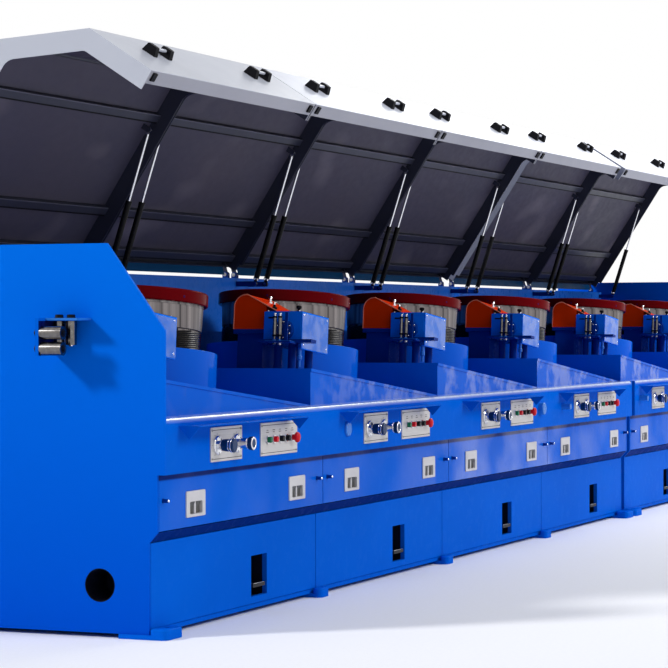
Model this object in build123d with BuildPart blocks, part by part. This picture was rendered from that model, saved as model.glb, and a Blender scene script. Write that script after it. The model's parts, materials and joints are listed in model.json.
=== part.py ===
from build123d import *
import math
import os

# Straight line wire drawing machine with six drawing bays in two sections.
# X runs along the line from the entry plate, Y runs back from the control band,
# Z is up from the floor, and the hoods stand open. Millimetres.

# Layout of the line
bays_in_first_section = 4
bays_in_second_section = 2
section_gap = 60.0
spacer_setback = 220.0
machine_depth = 1400.0
end_plate_thickness = 12.0
panel_seam = 6.0
deck_seam = 1.0
running_clearance = 0.3

# Levels and setbacks of the front
foot_thickness = 16.0
base_rail_top = 33.0
base_rail_front = 70.0
lower_panel_bottom = 36.0
lower_panel_top = 338.0
lower_panel_front = 64.0
chamfer_bottom = 341.0
chamfer_top = 377.0
cover_panel_front = 31.0
panel_thickness = 20.0
band_bottom = 580.0
ledge_top = 780.0
ledge_depth = 85.0
ledge_edge_radius = 12.0
bed_top = 700.0

# Sloping decks, each a plate on a filled base
deck_rise = 150.0
deck_plate_thickness = 12.0
deck_overhang = 4.0

# End plates
knee_z = 1092.0
top_front_y = 228.0
plate_top = 1400.0
cable_hole_y = 259.0
cable_hole_z = 185.0
cable_hole_radius = 60.0
cable_well_depth = 150.0
wire_hole_radius = 12.0

# Rear cabinet, with a step along the foot of its front
cabinet_front = 1080.0
cabinet_top = 1332.0
cabinet_step_z = 1078.0
cabinet_step_depth = 34.0
cabinet_rear_setback = 12.0
rear_door_margin = 40.0
rear_door_relief = 6.0

# Wire line and die boxes, in the frame of the sloping deck
wire_y = 379.0
die_box_u = 393.0
die_box_length = 291.0
die_box_wire_to_front = 79.0
die_box_wire_to_back = 101.0
die_box_bottom = 152.0
die_box_top = 276.0
die_box_edge_radius = 5.0
die_box_wire_rise = 44.0
front_door_thickness = 4.0
front_door_drop = 36.0
front_door_lip = 14.0

# Die holders
die_holder_radius = 43.0
die_holder_length = 18.0
die_holder_chamfer = 4.0
die_nose_radius = 24.0
die_nose_length = 22.0
die_bore_radius = 8.0

# Stands of the die boxes
stand_leg_radius = 18.0
stand_leg_inset = 55.0
tray_thickness = 14.0
tray_reach = 58.0
tray_wing_depth = 70.0
tray_wing_gap = 2.0

# Upright guide rollers before each die
guide_roller_radius = 8.5
guide_roller_gap = 7.0
guide_roller_length = 89.0
guide_roller_above_wire = 53.0
guide_roller_clearance = 32.0
guide_pin_radius = 4.0
guide_base_thickness = 8.0
guide_base_drop = 64.0
guide_base_width = 60.0
guide_base_front = 74.0
guide_base_back = 46.0
guide_bar_offset = 42.0
guide_bar_width = 13.0
guide_bar_thickness = 5.0
guide_bar_top = 69.0

# Wire guards and their platforms
guard_lag = 31.0
guard_box_gap = 6.0
guard_depth = 150.0
guard_bottom = 204.0
guard_front_height = 105.0
guard_peak_height = 150.0
guard_peak_inset = 62.0
guard_wall = 4.0
guard_corner_radius = 54.0
platform_thickness = 20.0
platform_margin = 15.0
column_length = 170.0
column_width = 120.0

# Drums, in the frame of the sloping deck
drum_y = 659.0
pedestal_radius = 345.0
pedestal_height = 175.0
pedestal_rim = 12.0
pedestal_rim_radius = 3.0
pedestal_floor = 150.0
pedestal_column_clearance = 53.0
pedestal_box_clearance = 28.0
pedestal_end_clearance = 148.0
spindle_radius = 60.0
spindle_top = 300.0
drum_lift = 6.0
drum_flange_radius = 283.0
drum_flange_thickness = 16.0
drum_foot_radius = 272.0
drum_head_radius = 266.0
drum_top = 360.0
drum_groove_blend = 10.0
drum_dish_radius = 236.0
drum_dish_depth = 26.0
ring_radius = 300.0
ring_inner_radius = 250.0
ring_height = 52.0
ring_edge_radius = 6.0
hub_cap_radius = 75.0
hub_cap_height = 24.0
guard_ring_clearance = 32.0

# Hoods: profile of the closed hood, opening angle and stiffeners
hinge_y = 1143.0
hinge_z = 1350.0
hood_open_angle = 57.0
hood_gap = 5.0
hood_skin = 4.0
hood_lip_bottom = 797.0
hood_lip_width = 53.0
hood_rear_y = 1115.0
hood_rear_lip = 28.0
hood_frame_depth = 78.0
hood_frame_thickness = 6.0
hood_frame_radius = 60.0
hood_knee_radius = 30.0
hood_frame_clearance = 8.0
hood_rib_width = 40.0
hood_rib_depth = 25.0
hood_rib_positions = (420.0, 875.0, 1070.0)
hood_handle_from_start = 340.0
hood_handle_from_end = 275.0
hood_handle_z = 965.0
hood_handle_length = 120.0
hood_handle_stand = 34.0
hood_handle_block = 26.0
hood_handle_slope = 9.0
hood_handle_bar = 12.0

# Hinges
hinge_inset = 40.0
hinge_lug_thickness = 8.0
hinge_arm_thickness = 10.0
hinge_side_gap = 1.0
hinge_pin_radius = 6.0
hinge_eye_radius = 13.0

# Gas struts
strut_inset = 60.0
strut_low_y = 988.0
strut_low_z = 1304.0
strut_hood_y = 467.7
strut_hood_z = 1364.0
strut_barrel_radius = 13.0
strut_barrel_start = 20.0
strut_barrel_length = 319.0
strut_rod_radius = 5.0
strut_rod_insertion = 60.0
strut_bore_start = 45.0
strut_eye_radius = 12.0
strut_eye_thickness = 10.0
strut_shank_width = 14.0
strut_pin_radius = 4.0
strut_lug_thickness = 8.0
strut_side_gap = 1.0

# Foot pedals
slot_x = 866.0
slot_width = 148.0
slot_bottom = 62.0
slot_top = 220.0
recess_margin = 8.0
recess_depth = 160.0
pedal_width = 110.0
pedal_thickness = 8.0
pedal_front_y = 72.0
pedal_front_z = 96.0
pedal_pivot_y = 190.0
pedal_pivot_z = 88.0
pedal_pin_radius = 6.0
pedal_pin_bearing = 16.0
pedal_hub_radius = 12.0
pedal_heel_drop = 6.0
pedal_toe_height = 14.0

# Canopies over the control plates
canopy_start = 108.0
canopy_end = 1092.0
canopy_top = 750.0
canopy_projection = 85.0
canopy_sheet = 3.0
canopy_gusset_drop = 48.0

# Control plates
plate_bottom = 607.0
plate_height = 126.0
plate_thickness = 4.0
plate_corner_radius = 4.0
regulator_plate_start = 367.0
regulator_plate_width = 272.0
button_plate_start = 809.0
button_plate_width = 349.0

# Regulators and push buttons
control_z = 668.0
regulator_positions = (422.0, 588.0)
bezel_radius = 35.0
bezel_thickness = 8.0
bezel_bevel = 4.0
regulator_neck_radius = 16.0
regulator_neck_length = 14.0
regulator_body_radius = 20.0
regulator_body_length = 26.0
regulator_waist_length = 6.0
regulator_cap_radius = 23.0
regulator_cap_length = 16.0
button_start = 872.0
button_spacing = 59.0
button_count = 5
button_bezel_radius = 15.0
button_bezel_length = 5.0
button_cap_radius = 11.0
button_cap_length = 13.0
mushroom_radius = 20.0
mushroom_rim = 5.0
mushroom_dome = 9.0
mushroom_stem_length = 14.0

# Round caps on the band as bay, place and length, and round knobs as bay and place
band_cap_z = 677.0
band_cap_radius = 31.0
band_cap_bevel = 4.0
band_cap_places = ((2, 188.0, 10.0), (3, 1285.0, 26.0))
band_knob_radius = 16.0
band_knob_length = 48.0
band_knob_places = ((4, 163.0), (5, 116.0), (6, 163.0))

# Latches in the cover panels
latch_from_start = 306.0
latch_from_end = 270.0
latch_z = 461.0
latch_width = 157.0
latch_height = 95.0
latch_proud = 5.0
latch_depth = 14.0
latch_dish_width = 104.0
latch_dish_height = 45.0
latch_dish_depth = 13.0
latch_dish_drop = 14.0
latch_divider_width = 12.0
latch_divider_setback = 5.0
latch_corner_radius = 6.0
latch_edge_radius = 2.0

# Feet
foot_length = 140.0
foot_overhang = 10.0
foot_back = 180.0
foot_lug_height = 38.0
foot_lug_radius = 24.0
foot_lug_edge = 8.0
foot_panel_gap = 2.0
seam_foot_length = 90.0
seam_foot_front = 20.0
rear_foot_depth = 200.0
foot_rear_overhang = 74.0
foot_hole_radius = 11.0
foot_hole_inset = 35.0

# Entry wire guide on the entry plate: a cheek with level rollers, a roof with upright ones
entry_guide_y = 376.0
entry_guide_z = 1054.0
entry_roller_gap = 8.0
entry_roller_length = 86.0
entry_level_radius = 24.0
entry_upright_radius = 20.0
entry_upright_x = 36.0
entry_cheek_gap = 1.0
entry_cheek_length = 150.0
entry_cheek_thickness = 13.0
entry_cheek_height = 133.0
entry_roof_length = 100.0
entry_roof_thickness = 9.0
entry_roof_overhang = 40.0
entry_roof_rise = 80.0

# Places along a bay, worked out from the sizes above
guide_roller_u = (
    die_box_u - die_holder_length - die_nose_length - guide_roller_clearance - guide_roller_radius
)
die_box_front = wire_y - die_box_wire_to_front
die_box_back = wire_y + die_box_wire_to_back
wire_height = die_box_bottom + die_box_wire_rise
guard_u = die_box_u + guard_lag
guard_front = die_box_back + guard_box_gap
guard_back = guard_front + guard_depth
column_end = guard_u + platform_margin + column_length
pedestal_reach = math.sqrt(max(pedestal_radius**2 - (drum_y - die_box_back) ** 2, 0.0))
drum_u = max(
    column_end + pedestal_column_clearance + pedestal_radius,
    die_box_u + die_box_length + pedestal_box_clearance + pedestal_reach,
)
guard_length = drum_u - ring_radius - guard_ring_clearance - guard_u
bay_pitch = drum_u + pedestal_radius + pedestal_end_clearance
latch_positions = (latch_from_start, bay_pitch - latch_from_end)
hood_handle_positions = (hood_handle_from_start, bay_pitch - hood_handle_from_end)

# Places along the line
deck_high = ledge_top + deck_rise
deck_tilt = math.atan(deck_rise / bay_pitch)
first_section_end = bays_in_first_section * bay_pitch
second_section_start = first_section_end + section_gap
machine_end = second_section_start + bays_in_second_section * bay_pitch
section_spans = ((0.0, first_section_end), (second_section_start, machine_end))
bay_starts = [k * bay_pitch for k in range(bays_in_first_section)]
bay_starts += [second_section_start + k * bay_pitch for k in range(bays_in_second_section)]
deck_back = cabinet_front - cabinet_step_depth
cos_open = math.cos(math.radians(hood_open_angle))
sin_open = math.sin(math.radians(hood_open_angle))
cos_tilt = math.cos(deck_tilt)
sin_tilt = math.sin(deck_tilt)

os.makedirs("parts", exist_ok=True)


def save(part, name):
    """Label a finished piece and write it to its own file."""
    part.label = name
    export_step(part, "parts/" + name + ".step")


def side_plane(x):
    """Plane across the line at x, with local x to the back and local y up."""
    return Plane(origin=(x, 0, 0), x_dir=(0, 1, 0), z_dir=(1, 0, 0))


def front_plane(y):
    """Plane facing the operator at y, with local x along the line and local y up."""
    return Plane(origin=(0, y, 0), x_dir=(1, 0, 0), z_dir=(0, -1, 0))


def turning_plane(x, y, z):
    """Half plane for a piece turned about an axis that points at the operator from x, y, z."""
    return Plane(origin=(x, y, z), x_dir=(0, 0, 1), z_dir=(1, 0, 0))


def operator_axis(x, z):
    return Axis((x, 0, z), (0, -1, 0))


def deck_plane(start, u=0.0, v=0.0, h=0.0):
    """Plane parallel to the sloping deck of the bay that starts at start."""
    origin = (
        start + u * cos_tilt + h * sin_tilt,
        v,
        deck_high - u * sin_tilt + h * cos_tilt,
    )
    return Plane(origin=origin, x_dir=(cos_tilt, 0, -sin_tilt), z_dir=(sin_tilt, 0, cos_tilt))


def deck_cross_plane(start, u):
    """Plane across a sloping bay, with local x to the back and local y off the deck."""
    foot = deck_plane(start, u)
    return Plane(origin=foot.origin, x_dir=(0, 1, 0), z_dir=(cos_tilt, 0, -sin_tilt))


def deck_level(start, x):
    """Height of the sloping deck at x."""
    return deck_high - (x - start) * deck_rise / bay_pitch


def hood_plane(x):
    """Plane across the open hood at x, in the closed hood's own directions from its hinge."""
    return Plane(
        origin=(x, hinge_y, hinge_z),
        x_dir=(0, cos_open, -sin_open),
        z_dir=(1, 0, 0),
    )


def hood_point(y, z):
    """A point of the closed hood, counted from its hinge."""
    return (y - hinge_y, z - hinge_z)


def opened(y, z):
    """Where a point of the closed hood stands when the hood is open."""
    dy = y - hinge_y
    dz = z - hinge_z
    return (hinge_y + dy * cos_open + dz * sin_open, hinge_z - dy * sin_open + dz * cos_open)


def is_section_start(start):
    return start in (0.0, second_section_start)


def is_section_end(end):
    return end in (first_section_end, machine_end)


def bay_inside(start):
    """Span of a bay between the end plates of its section."""
    end = start + bay_pitch
    low = start + (end_plate_thickness if is_section_start(start) else 0.0)
    high = end - (end_plate_thickness if is_section_end(end) else 0.0)
    return low, high


def strut_sides(start):
    """Place of each strut of a bay, with the direction to the middle of the bay."""
    return ((start + strut_inset, 1.0), (start + bay_pitch - strut_inset, -1.0))


# Front outline that the end plates and the bed share, from the floor to the band
front_steps = [
    (lower_panel_front, foot_thickness),
    (lower_panel_front, chamfer_bottom),
    (cover_panel_front, chamfer_top),
    (cover_panel_front, band_bottom),
    (0.0, band_bottom),
]
tall_outline = [(0.0, knee_z), (top_front_y, plate_top), (machine_depth, plate_top)]
low_outline = [(0.0, ledge_top), (machine_depth, ledge_top)]
riser_outline = [
    (0.0, ledge_top),
    (ledge_depth, ledge_top),
    (ledge_depth, deck_high),
    (machine_depth, deck_high),
]


def end_plate(x, upper_points):
    """One end plate whose outline goes on from the band through upper_points."""
    with BuildPart() as plate:
        with BuildSketch(side_plane(x)):
            with BuildLine():
                Polyline(*front_steps, *upper_points, (machine_depth, foot_thickness), close=True)
            make_face()
        extrude(amount=end_plate_thickness)
    return plate.part


# Entry end plate with the cable hole and the wire's way in
entry_blank = end_plate(0.0, tall_outline)
with BuildPart() as entry_end_plate:
    add(entry_blank)
    with BuildSketch(side_plane(0.0)):
        with Locations((cable_hole_y, cable_hole_z)):
            Circle(cable_hole_radius)
        with Locations((entry_guide_y, entry_guide_z)):
            Circle(wire_hole_radius)
    extrude(amount=end_plate_thickness, mode=Mode.SUBTRACT)
save(entry_end_plate.part, "entry_end_plate")

# Exit end plate
exit_end_plate = end_plate(machine_end - end_plate_thickness, tall_outline)
save(exit_end_plate, "exit_end_plate")

# Low plates where the two sections meet, joined by a set-back spacer
low_plate = end_plate(first_section_end - end_plate_thickness, low_outline)
riser_plate = end_plate(second_section_start, riser_outline)
spacer_height = bed_top - foot_thickness - spacer_setback
with BuildPart() as middle_end_plates:
    add(low_plate)
    add(riser_plate)
    with BuildSketch(side_plane(first_section_end)):
        with Locations((machine_depth / 2, (foot_thickness + bed_top) / 2)):
            Rectangle(machine_depth - 2 * spacer_setback, spacer_height)
    extrude(amount=section_gap)
save(middle_end_plates.part, "middle_end_plates")

# Bed of each section: base rail, front steps and a recess behind each pedal slot
with BuildPart() as machine_beds:
    for low, high in section_spans:
        with BuildSketch(side_plane(low + end_plate_thickness)):
            with BuildLine():
                Polyline(
                    (base_rail_front, foot_thickness),
                    (base_rail_front, base_rail_top),
                    (lower_panel_front + panel_thickness, base_rail_top),
                    (lower_panel_front + panel_thickness, chamfer_bottom),
                    (lower_panel_front, chamfer_bottom),
                    (cover_panel_front, chamfer_top),
                    (cover_panel_front + panel_thickness, chamfer_top),
                    (cover_panel_front + panel_thickness, band_bottom),
                    (ledge_depth, band_bottom),
                    (ledge_depth, bed_top),
                    (machine_depth, bed_top),
                    (machine_depth, foot_thickness),
                    close=True,
                )
            make_face()
        extrude(amount=high - low - 2 * end_plate_thickness)
    for start in bay_starts:
        with BuildSketch(front_plane(lower_panel_front + panel_thickness)):
            with Locations((start + slot_x + slot_width / 2, (slot_bottom + slot_top) / 2)):
                Rectangle(slot_width + 2 * recess_margin, slot_top - slot_bottom + 2 * recess_margin)
        extrude(amount=-recess_depth, mode=Mode.SUBTRACT)
    # Well behind the cable hole of the entry plate
    with BuildSketch(side_plane(end_plate_thickness)):
        with Locations((cable_hole_y, cable_hole_z)):
            Circle(cable_hole_radius)
    extrude(amount=cable_well_depth, mode=Mode.SUBTRACT)
    # Pedal pins across the recesses
    for start in bay_starts:
        with BuildSketch(side_plane(start + slot_x - pedal_pin_bearing)):
            with Locations((pedal_pivot_y, pedal_pivot_z)):
                Circle(pedal_pin_radius)
        extrude(amount=slot_width + 2 * pedal_pin_bearing)
save(machine_beds.part, "machine_beds")

# Control band with its ledge
with BuildPart() as control_bands:
    for low, high in section_spans:
        with BuildSketch(side_plane(low + end_plate_thickness)):
            with Locations((ledge_depth / 2, (band_bottom + ledge_top) / 2)):
                Rectangle(ledge_depth, ledge_top - band_bottom)
        extrude(amount=high - low - 2 * end_plate_thickness)
    ledge_edges = control_bands.edges().filter_by(Axis.X).group_by(Axis.Z)[-1]
    fillet(ledge_edges.group_by(Axis.Y)[0], ledge_edge_radius)
save(control_bands.part, "control_bands")

# Cover panels with pockets for the latches
with BuildPart() as cover_panels:
    for start in bay_starts:
        low, high = bay_inside(start)
        with BuildSketch(front_plane(cover_panel_front)):
            with Locations(((low + high) / 2, (chamfer_top + band_bottom) / 2)):
                Rectangle(high - low - panel_seam, band_bottom - chamfer_top - panel_seam)
        extrude(amount=-panel_thickness)
        with BuildSketch(front_plane(cover_panel_front)):
            with Locations(*[(start + x, latch_z) for x in latch_positions]):
                RectangleRounded(
                    latch_width + 2 * running_clearance,
                    latch_height + 2 * running_clearance,
                    latch_corner_radius + running_clearance,
                )
        extrude(amount=-latch_depth - running_clearance, mode=Mode.SUBTRACT)
save(cover_panels.part, "cover_panels")

# Latches: a rimmed plate with a finger bowl in its lower half
latch_face = cover_panel_front - latch_proud
latch_spots = [(start + x, latch_z) for start in bay_starts for x in latch_positions]
bowl_spots = [(x, z - latch_dish_drop) for x, z in latch_spots]
with BuildPart() as cover_latches:
    with BuildSketch(front_plane(latch_face)):
        with Locations(*latch_spots):
            RectangleRounded(latch_width, latch_height, latch_corner_radius)
    extrude(amount=-latch_depth - latch_proud)
    fillet(cover_latches.faces().group_by(Axis.Y)[0].edges(), latch_edge_radius)
    with BuildSketch(front_plane(latch_face)):
        with Locations(*bowl_spots):
            RectangleRounded(latch_dish_width, latch_dish_height, latch_corner_radius)
    extrude(amount=-latch_dish_depth, mode=Mode.SUBTRACT)
    with BuildSketch(front_plane(latch_face + latch_divider_setback)):
        with Locations(*bowl_spots):
            Rectangle(latch_divider_width, latch_dish_height)
    extrude(amount=-(latch_dish_depth - latch_divider_setback))
save(cover_latches.part, "cover_latches")

# Lower panels with the pedal slots
with BuildPart() as lower_panels:
    for start in bay_starts:
        low, high = bay_inside(start)
        with BuildSketch(front_plane(lower_panel_front)):
            with Locations(((low + high) / 2, (lower_panel_bottom + lower_panel_top) / 2)):
                Rectangle(high - low - panel_seam, lower_panel_top - lower_panel_bottom)
            with Locations((start + slot_x + slot_width / 2, (slot_bottom + slot_top) / 2)):
                Rectangle(slot_width, slot_top - slot_bottom, mode=Mode.SUBTRACT)
        extrude(amount=-panel_thickness)
save(lower_panels.part, "lower_panels")

# Sloping decks: filled bases with risers, under plates that stand out at the front
with BuildPart() as sloping_decks:
    for start in bay_starts:
        low, high = bay_inside(start)
        high -= deck_seam
        low_z = deck_level(start, low)
        high_z = deck_level(start, high)
        ledge_meet_x = start + (deck_high - deck_plate_thickness - ledge_top) / deck_rise * bay_pitch
        with BuildSketch(front_plane(ledge_depth)):
            with BuildLine():
                Polyline((low, bed_top), (low, low_z), (high, high_z), (high, bed_top), close=True)
            make_face()
        extrude(amount=-(deck_back - ledge_depth))
        with BuildSketch(front_plane(ledge_depth - deck_overhang)):
            with BuildLine():
                Polyline(
                    (low, low_z - deck_plate_thickness),
                    (low, low_z),
                    (high, high_z),
                    (ledge_meet_x, ledge_top),
                    close=True,
                )
            make_face()
        extrude(amount=-deck_overhang)
save(sloping_decks.part, "sloping_decks")

# Rear cabinets with plain doors at the back
cabinet_rear = machine_depth - cabinet_rear_setback
with BuildPart() as rear_cabinets:
    for low, high in section_spans:
        with BuildSketch(side_plane(low + end_plate_thickness)):
            with BuildLine():
                Polyline(
                    (deck_back, bed_top),
                    (deck_back, cabinet_step_z),
                    (cabinet_front, cabinet_step_z),
                    (cabinet_front, cabinet_top),
                    (cabinet_rear, cabinet_top),
                    (cabinet_rear, bed_top),
                    close=True,
                )
            make_face()
        extrude(amount=high - low - 2 * end_plate_thickness)
    for start in bay_starts:
        low, high = bay_inside(start)
        with BuildSketch(front_plane(cabinet_rear)):
            with Locations(((low + high) / 2, (bed_top + cabinet_top) / 2)):
                Rectangle(high - low - 2 * rear_door_margin, cabinet_top - bed_top - 2 * rear_door_margin)
        extrude(amount=-rear_door_relief)
save(rear_cabinets.part, "rear_cabinets")

# Drum pedestals: a round tray on the deck with the spindle in its middle
with BuildPart() as drum_pedestals:
    for start in bay_starts:
        with BuildSketch(deck_plane(start, drum_u, drum_y)):
            Circle(pedestal_radius)
        extrude(amount=pedestal_height)
        fillet(drum_pedestals.edges(Select.LAST).sort_by(Axis.Z)[-1], pedestal_rim_radius)
        with BuildSketch(deck_plane(start, drum_u, drum_y, pedestal_floor)):
            Circle(pedestal_radius - pedestal_rim)
            Circle(spindle_radius, mode=Mode.SUBTRACT)
        extrude(amount=pedestal_height - pedestal_floor, mode=Mode.SUBTRACT)
        with BuildSketch(deck_plane(start, drum_u, drum_y, pedestal_floor)):
            Circle(spindle_radius)
        extrude(amount=spindle_top - pedestal_floor)
save(drum_pedestals.part, "drum_pedestals")


def drum_section_plane(start):
    """Plane through a drum's axis, with local x outward and local y along the axis."""
    foot = deck_plane(start, drum_u, drum_y)
    return Plane(origin=foot.origin, x_dir=foot.x_dir, z_dir=(0, -1, 0))


def drum_axis(start):
    foot = deck_plane(start, drum_u, drum_y)
    return Axis(foot.origin, foot.z_dir)


# Drums with their groove, flanges, dished top and hub cap, one to a bay
drum_bottom = pedestal_floor + drum_lift
drum_bore_radius = spindle_radius + running_clearance
drum_bore_top = spindle_top + running_clearance
for number, start in enumerate(bay_starts, start=1):
    with BuildPart() as drum:
        with BuildSketch(drum_section_plane(start)):
            with BuildLine():
                Polyline(
                    (drum_bore_radius, drum_bottom),
                    (drum_flange_radius, drum_bottom),
                    (drum_flange_radius, drum_bottom + drum_flange_thickness),
                    (drum_foot_radius, drum_bottom + drum_flange_thickness + drum_groove_blend),
                    (drum_head_radius, drum_top - drum_flange_thickness),
                    (drum_flange_radius, drum_top - drum_flange_thickness / 2),
                    (drum_flange_radius, drum_top),
                    (drum_dish_radius, drum_top),
                    (drum_dish_radius - drum_groove_blend, drum_top - drum_dish_depth),
                    (hub_cap_radius, drum_top - drum_dish_depth),
                    (hub_cap_radius, drum_top + hub_cap_height),
                    (0, drum_top + hub_cap_height),
                    (0, drum_bore_top),
                    (drum_bore_radius, drum_bore_top),
                    close=True,
                )
            make_face()
        revolve(axis=drum_axis(start))
    save(drum.part, "drum_" + str(number))

    # Red ring on the drum's top flange
    with BuildPart() as drum_ring:
        with BuildSketch(deck_plane(start, drum_u, drum_y, drum_top)):
            Circle(ring_radius)
            Circle(ring_inner_radius, mode=Mode.SUBTRACT)
        extrude(amount=ring_height)
        rim_edges = drum_ring.edges().filter_by(GeomType.CIRCLE).sort_by(SortBy.RADIUS)[-2:]
        fillet(rim_edges, ring_edge_radius)
    save(drum_ring.part, "drum_ring_" + str(number))

# Die boxes, each with a front door that hangs below its body
box_depth = die_box_wire_to_front + die_box_wire_to_back - front_door_thickness
with BuildPart() as die_boxes:
    for start in bay_starts:
        middle_u = die_box_u + die_box_length / 2
        body_y = die_box_back - box_depth / 2
        door_bottom = die_box_bottom - front_door_drop
        with BuildSketch(deck_plane(start, middle_u, body_y, die_box_bottom)):
            RectangleRounded(die_box_length, box_depth, die_box_edge_radius)
        extrude(amount=die_box_top - die_box_bottom)
        with BuildSketch(deck_plane(start, middle_u, die_box_front + front_door_thickness / 2, door_bottom)):
            Rectangle(die_box_length, front_door_thickness)
        extrude(amount=die_box_top - door_bottom)
        with BuildSketch(deck_plane(start, middle_u, die_box_front + front_door_lip / 2, door_bottom)):
            Rectangle(die_box_length, front_door_lip)
        extrude(amount=front_door_thickness)
save(die_boxes.part, "die_boxes")

# Die holders on the entry face of each box, turned about the wire line
with BuildPart() as die_holders:
    for start in bay_starts:
        face = deck_cross_plane(start, die_box_u)
        with BuildSketch(face):
            with Locations((wire_y, wire_height)):
                Circle(die_holder_radius)
        extrude(amount=-die_holder_length)
        rim = die_holders.faces(Select.LAST).sort_by(Axis.X)[0].edges()
        chamfer(rim, die_holder_chamfer)
        with BuildSketch(face.offset(-die_holder_length)):
            with Locations((wire_y, wire_height)):
                Circle(die_nose_radius)
        extrude(amount=-die_nose_length)
        with BuildSketch(face.offset(-die_holder_length - die_nose_length)):
            with Locations((wire_y, wire_height)):
                Circle(die_bore_radius)
        extrude(amount=die_nose_length, mode=Mode.SUBTRACT)
save(die_holders.part, "die_holders")

# Stands: legs and tray of the die box, base and bar of the guide rollers, platform of the guard
guard_middle_y = (guard_front + guard_back) / 2
tray_top = die_box_bottom
base_top = wire_height - guide_base_drop + guide_base_thickness
tray_front = die_box_front + front_door_lip + tray_wing_gap
with BuildPart() as die_box_stands:
    for start in bay_starts:
        legs = deck_plane(start, die_box_u + die_box_length / 2, (tray_front + die_box_back) / 2)
        with BuildSketch(legs):
            with GridLocations(die_box_length - 2 * stand_leg_inset, box_depth - 2 * stand_leg_inset, 2, 2):
                Circle(stand_leg_radius)
        extrude(amount=tray_top - tray_thickness)
        # Tray under the box, with a wing that stands out before the door
        wing_front = die_box_front - tray_wing_depth
        with BuildSketch(deck_plane(start, 0, 0, tray_top - tray_thickness)):
            with Locations((die_box_u - tray_reach, tray_front)):
                Rectangle(
                    die_box_length + tray_reach,
                    die_box_back - tray_front,
                    align=(Align.MIN, Align.MIN),
                )
            with Locations((die_box_u - tray_reach, wing_front)):
                Rectangle(
                    tray_reach - tray_wing_gap,
                    tray_front - wing_front,
                    align=(Align.MIN, Align.MIN),
                )
        extrude(amount=tray_thickness)
        # Base of the guide rollers, with the flat bar beside them
        with BuildSketch(deck_plane(start, guide_roller_u, 0, base_top - guide_base_thickness)):
            with Locations((-guide_base_width / 2, wire_y - guide_base_front)):
                Rectangle(
                    guide_base_width,
                    guide_base_front + guide_base_back,
                    align=(Align.MIN, Align.MIN),
                )
        extrude(amount=guide_base_thickness)
        with BuildSketch(deck_plane(start, guide_roller_u, wire_y - guide_bar_offset, base_top)):
            Rectangle(guide_bar_thickness, guide_bar_width)
        extrude(amount=wire_height + guide_bar_top - base_top)
        # Platform of the guard on its column
        platform = deck_plane(
            start,
            guard_u + guard_length / 2 - platform_margin,
            guard_middle_y,
            guard_bottom - platform_thickness,
        )
        with BuildSketch(platform):
            Rectangle(guard_length - 2 * platform_margin, guard_back - guard_front)
        extrude(amount=platform_thickness)
        with BuildSketch(deck_plane(start, column_end - column_length / 2, guard_middle_y)):
            Rectangle(column_length, column_width)
        extrude(amount=guard_bottom - platform_thickness)
save(die_box_stands.part, "die_box_stands")


def guard_section(inset):
    """Outline of a wire guard across the bay, inset by a wall."""
    with BuildSketch() as section:
        with BuildLine():
            Polyline(
                (guard_front + inset, guard_bottom - inset),
                (guard_front + inset, guard_bottom + guard_front_height - inset),
                (guard_back - guard_peak_inset, guard_bottom + guard_peak_height - inset),
                (guard_back - inset, guard_bottom + guard_peak_height - inset),
                (guard_back - inset, guard_bottom - inset),
                close=True,
            )
        make_face()
        back_corner = section.vertices().group_by(Axis.X)[-1].sort_by(Axis.Y)[-1]
        fillet(back_corner, guard_corner_radius - inset)
    return section.sketch


# Orange wire guards: bent sheet covers, open below and towards the drum
guard_outer = guard_section(0.0)
guard_inner = guard_section(guard_wall)
with BuildPart() as wire_guards:
    for start in bay_starts:
        with BuildSketch(deck_cross_plane(start, guard_u)):
            add(guard_outer)
        extrude(amount=guard_length)
        with BuildSketch(deck_cross_plane(start, guard_u + guard_wall)):
            add(guard_inner)
        extrude(amount=guard_length, mode=Mode.SUBTRACT)
save(wire_guards.part, "wire_guards")


def hood_band(depth):
    """Band of the hood's profile, depth wide, inside its outer line."""
    with BuildSketch() as band:
        with BuildLine():
            Polyline(
                hood_point(hood_rear_y, plate_top),
                hood_point(top_front_y, plate_top),
                hood_point(0.0, knee_z),
                hood_point(0.0, hood_lip_bottom),
            )
            offset(amount=depth, side=Side.LEFT, kind=Kind.INTERSECTION)
        make_face()
    return band.sketch


def hood_frame_section():
    """Profile of an end frame, with rounded inner bends and cut short above the cabinet."""
    band = hood_band(hood_frame_depth)
    cut_front = cabinet_front - hood_frame_clearance
    cut_bottom = plate_top - hood_frame_depth
    cut_top = cabinet_top + hood_frame_clearance
    with BuildSketch() as section:
        add(band)
        # The inner corner of a bend is the vertex next nearest to its outer corner
        for corner, radius in (
            (hood_point(top_front_y, plate_top), hood_frame_radius),
            (hood_point(0.0, knee_z), hood_knee_radius),
        ):
            fillet(section.vertices().sort_by_distance((*corner, 0))[1], radius)
        with Locations(hood_point((cut_front + hood_rear_y) / 2, (cut_bottom + cut_top) / 2)):
            Rectangle(hood_rear_y - cut_front, cut_top - cut_bottom, mode=Mode.SUBTRACT)
    return section.sketch


hood_skin_section = hood_band(hood_skin)
hood_frame = hood_frame_section()

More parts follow.
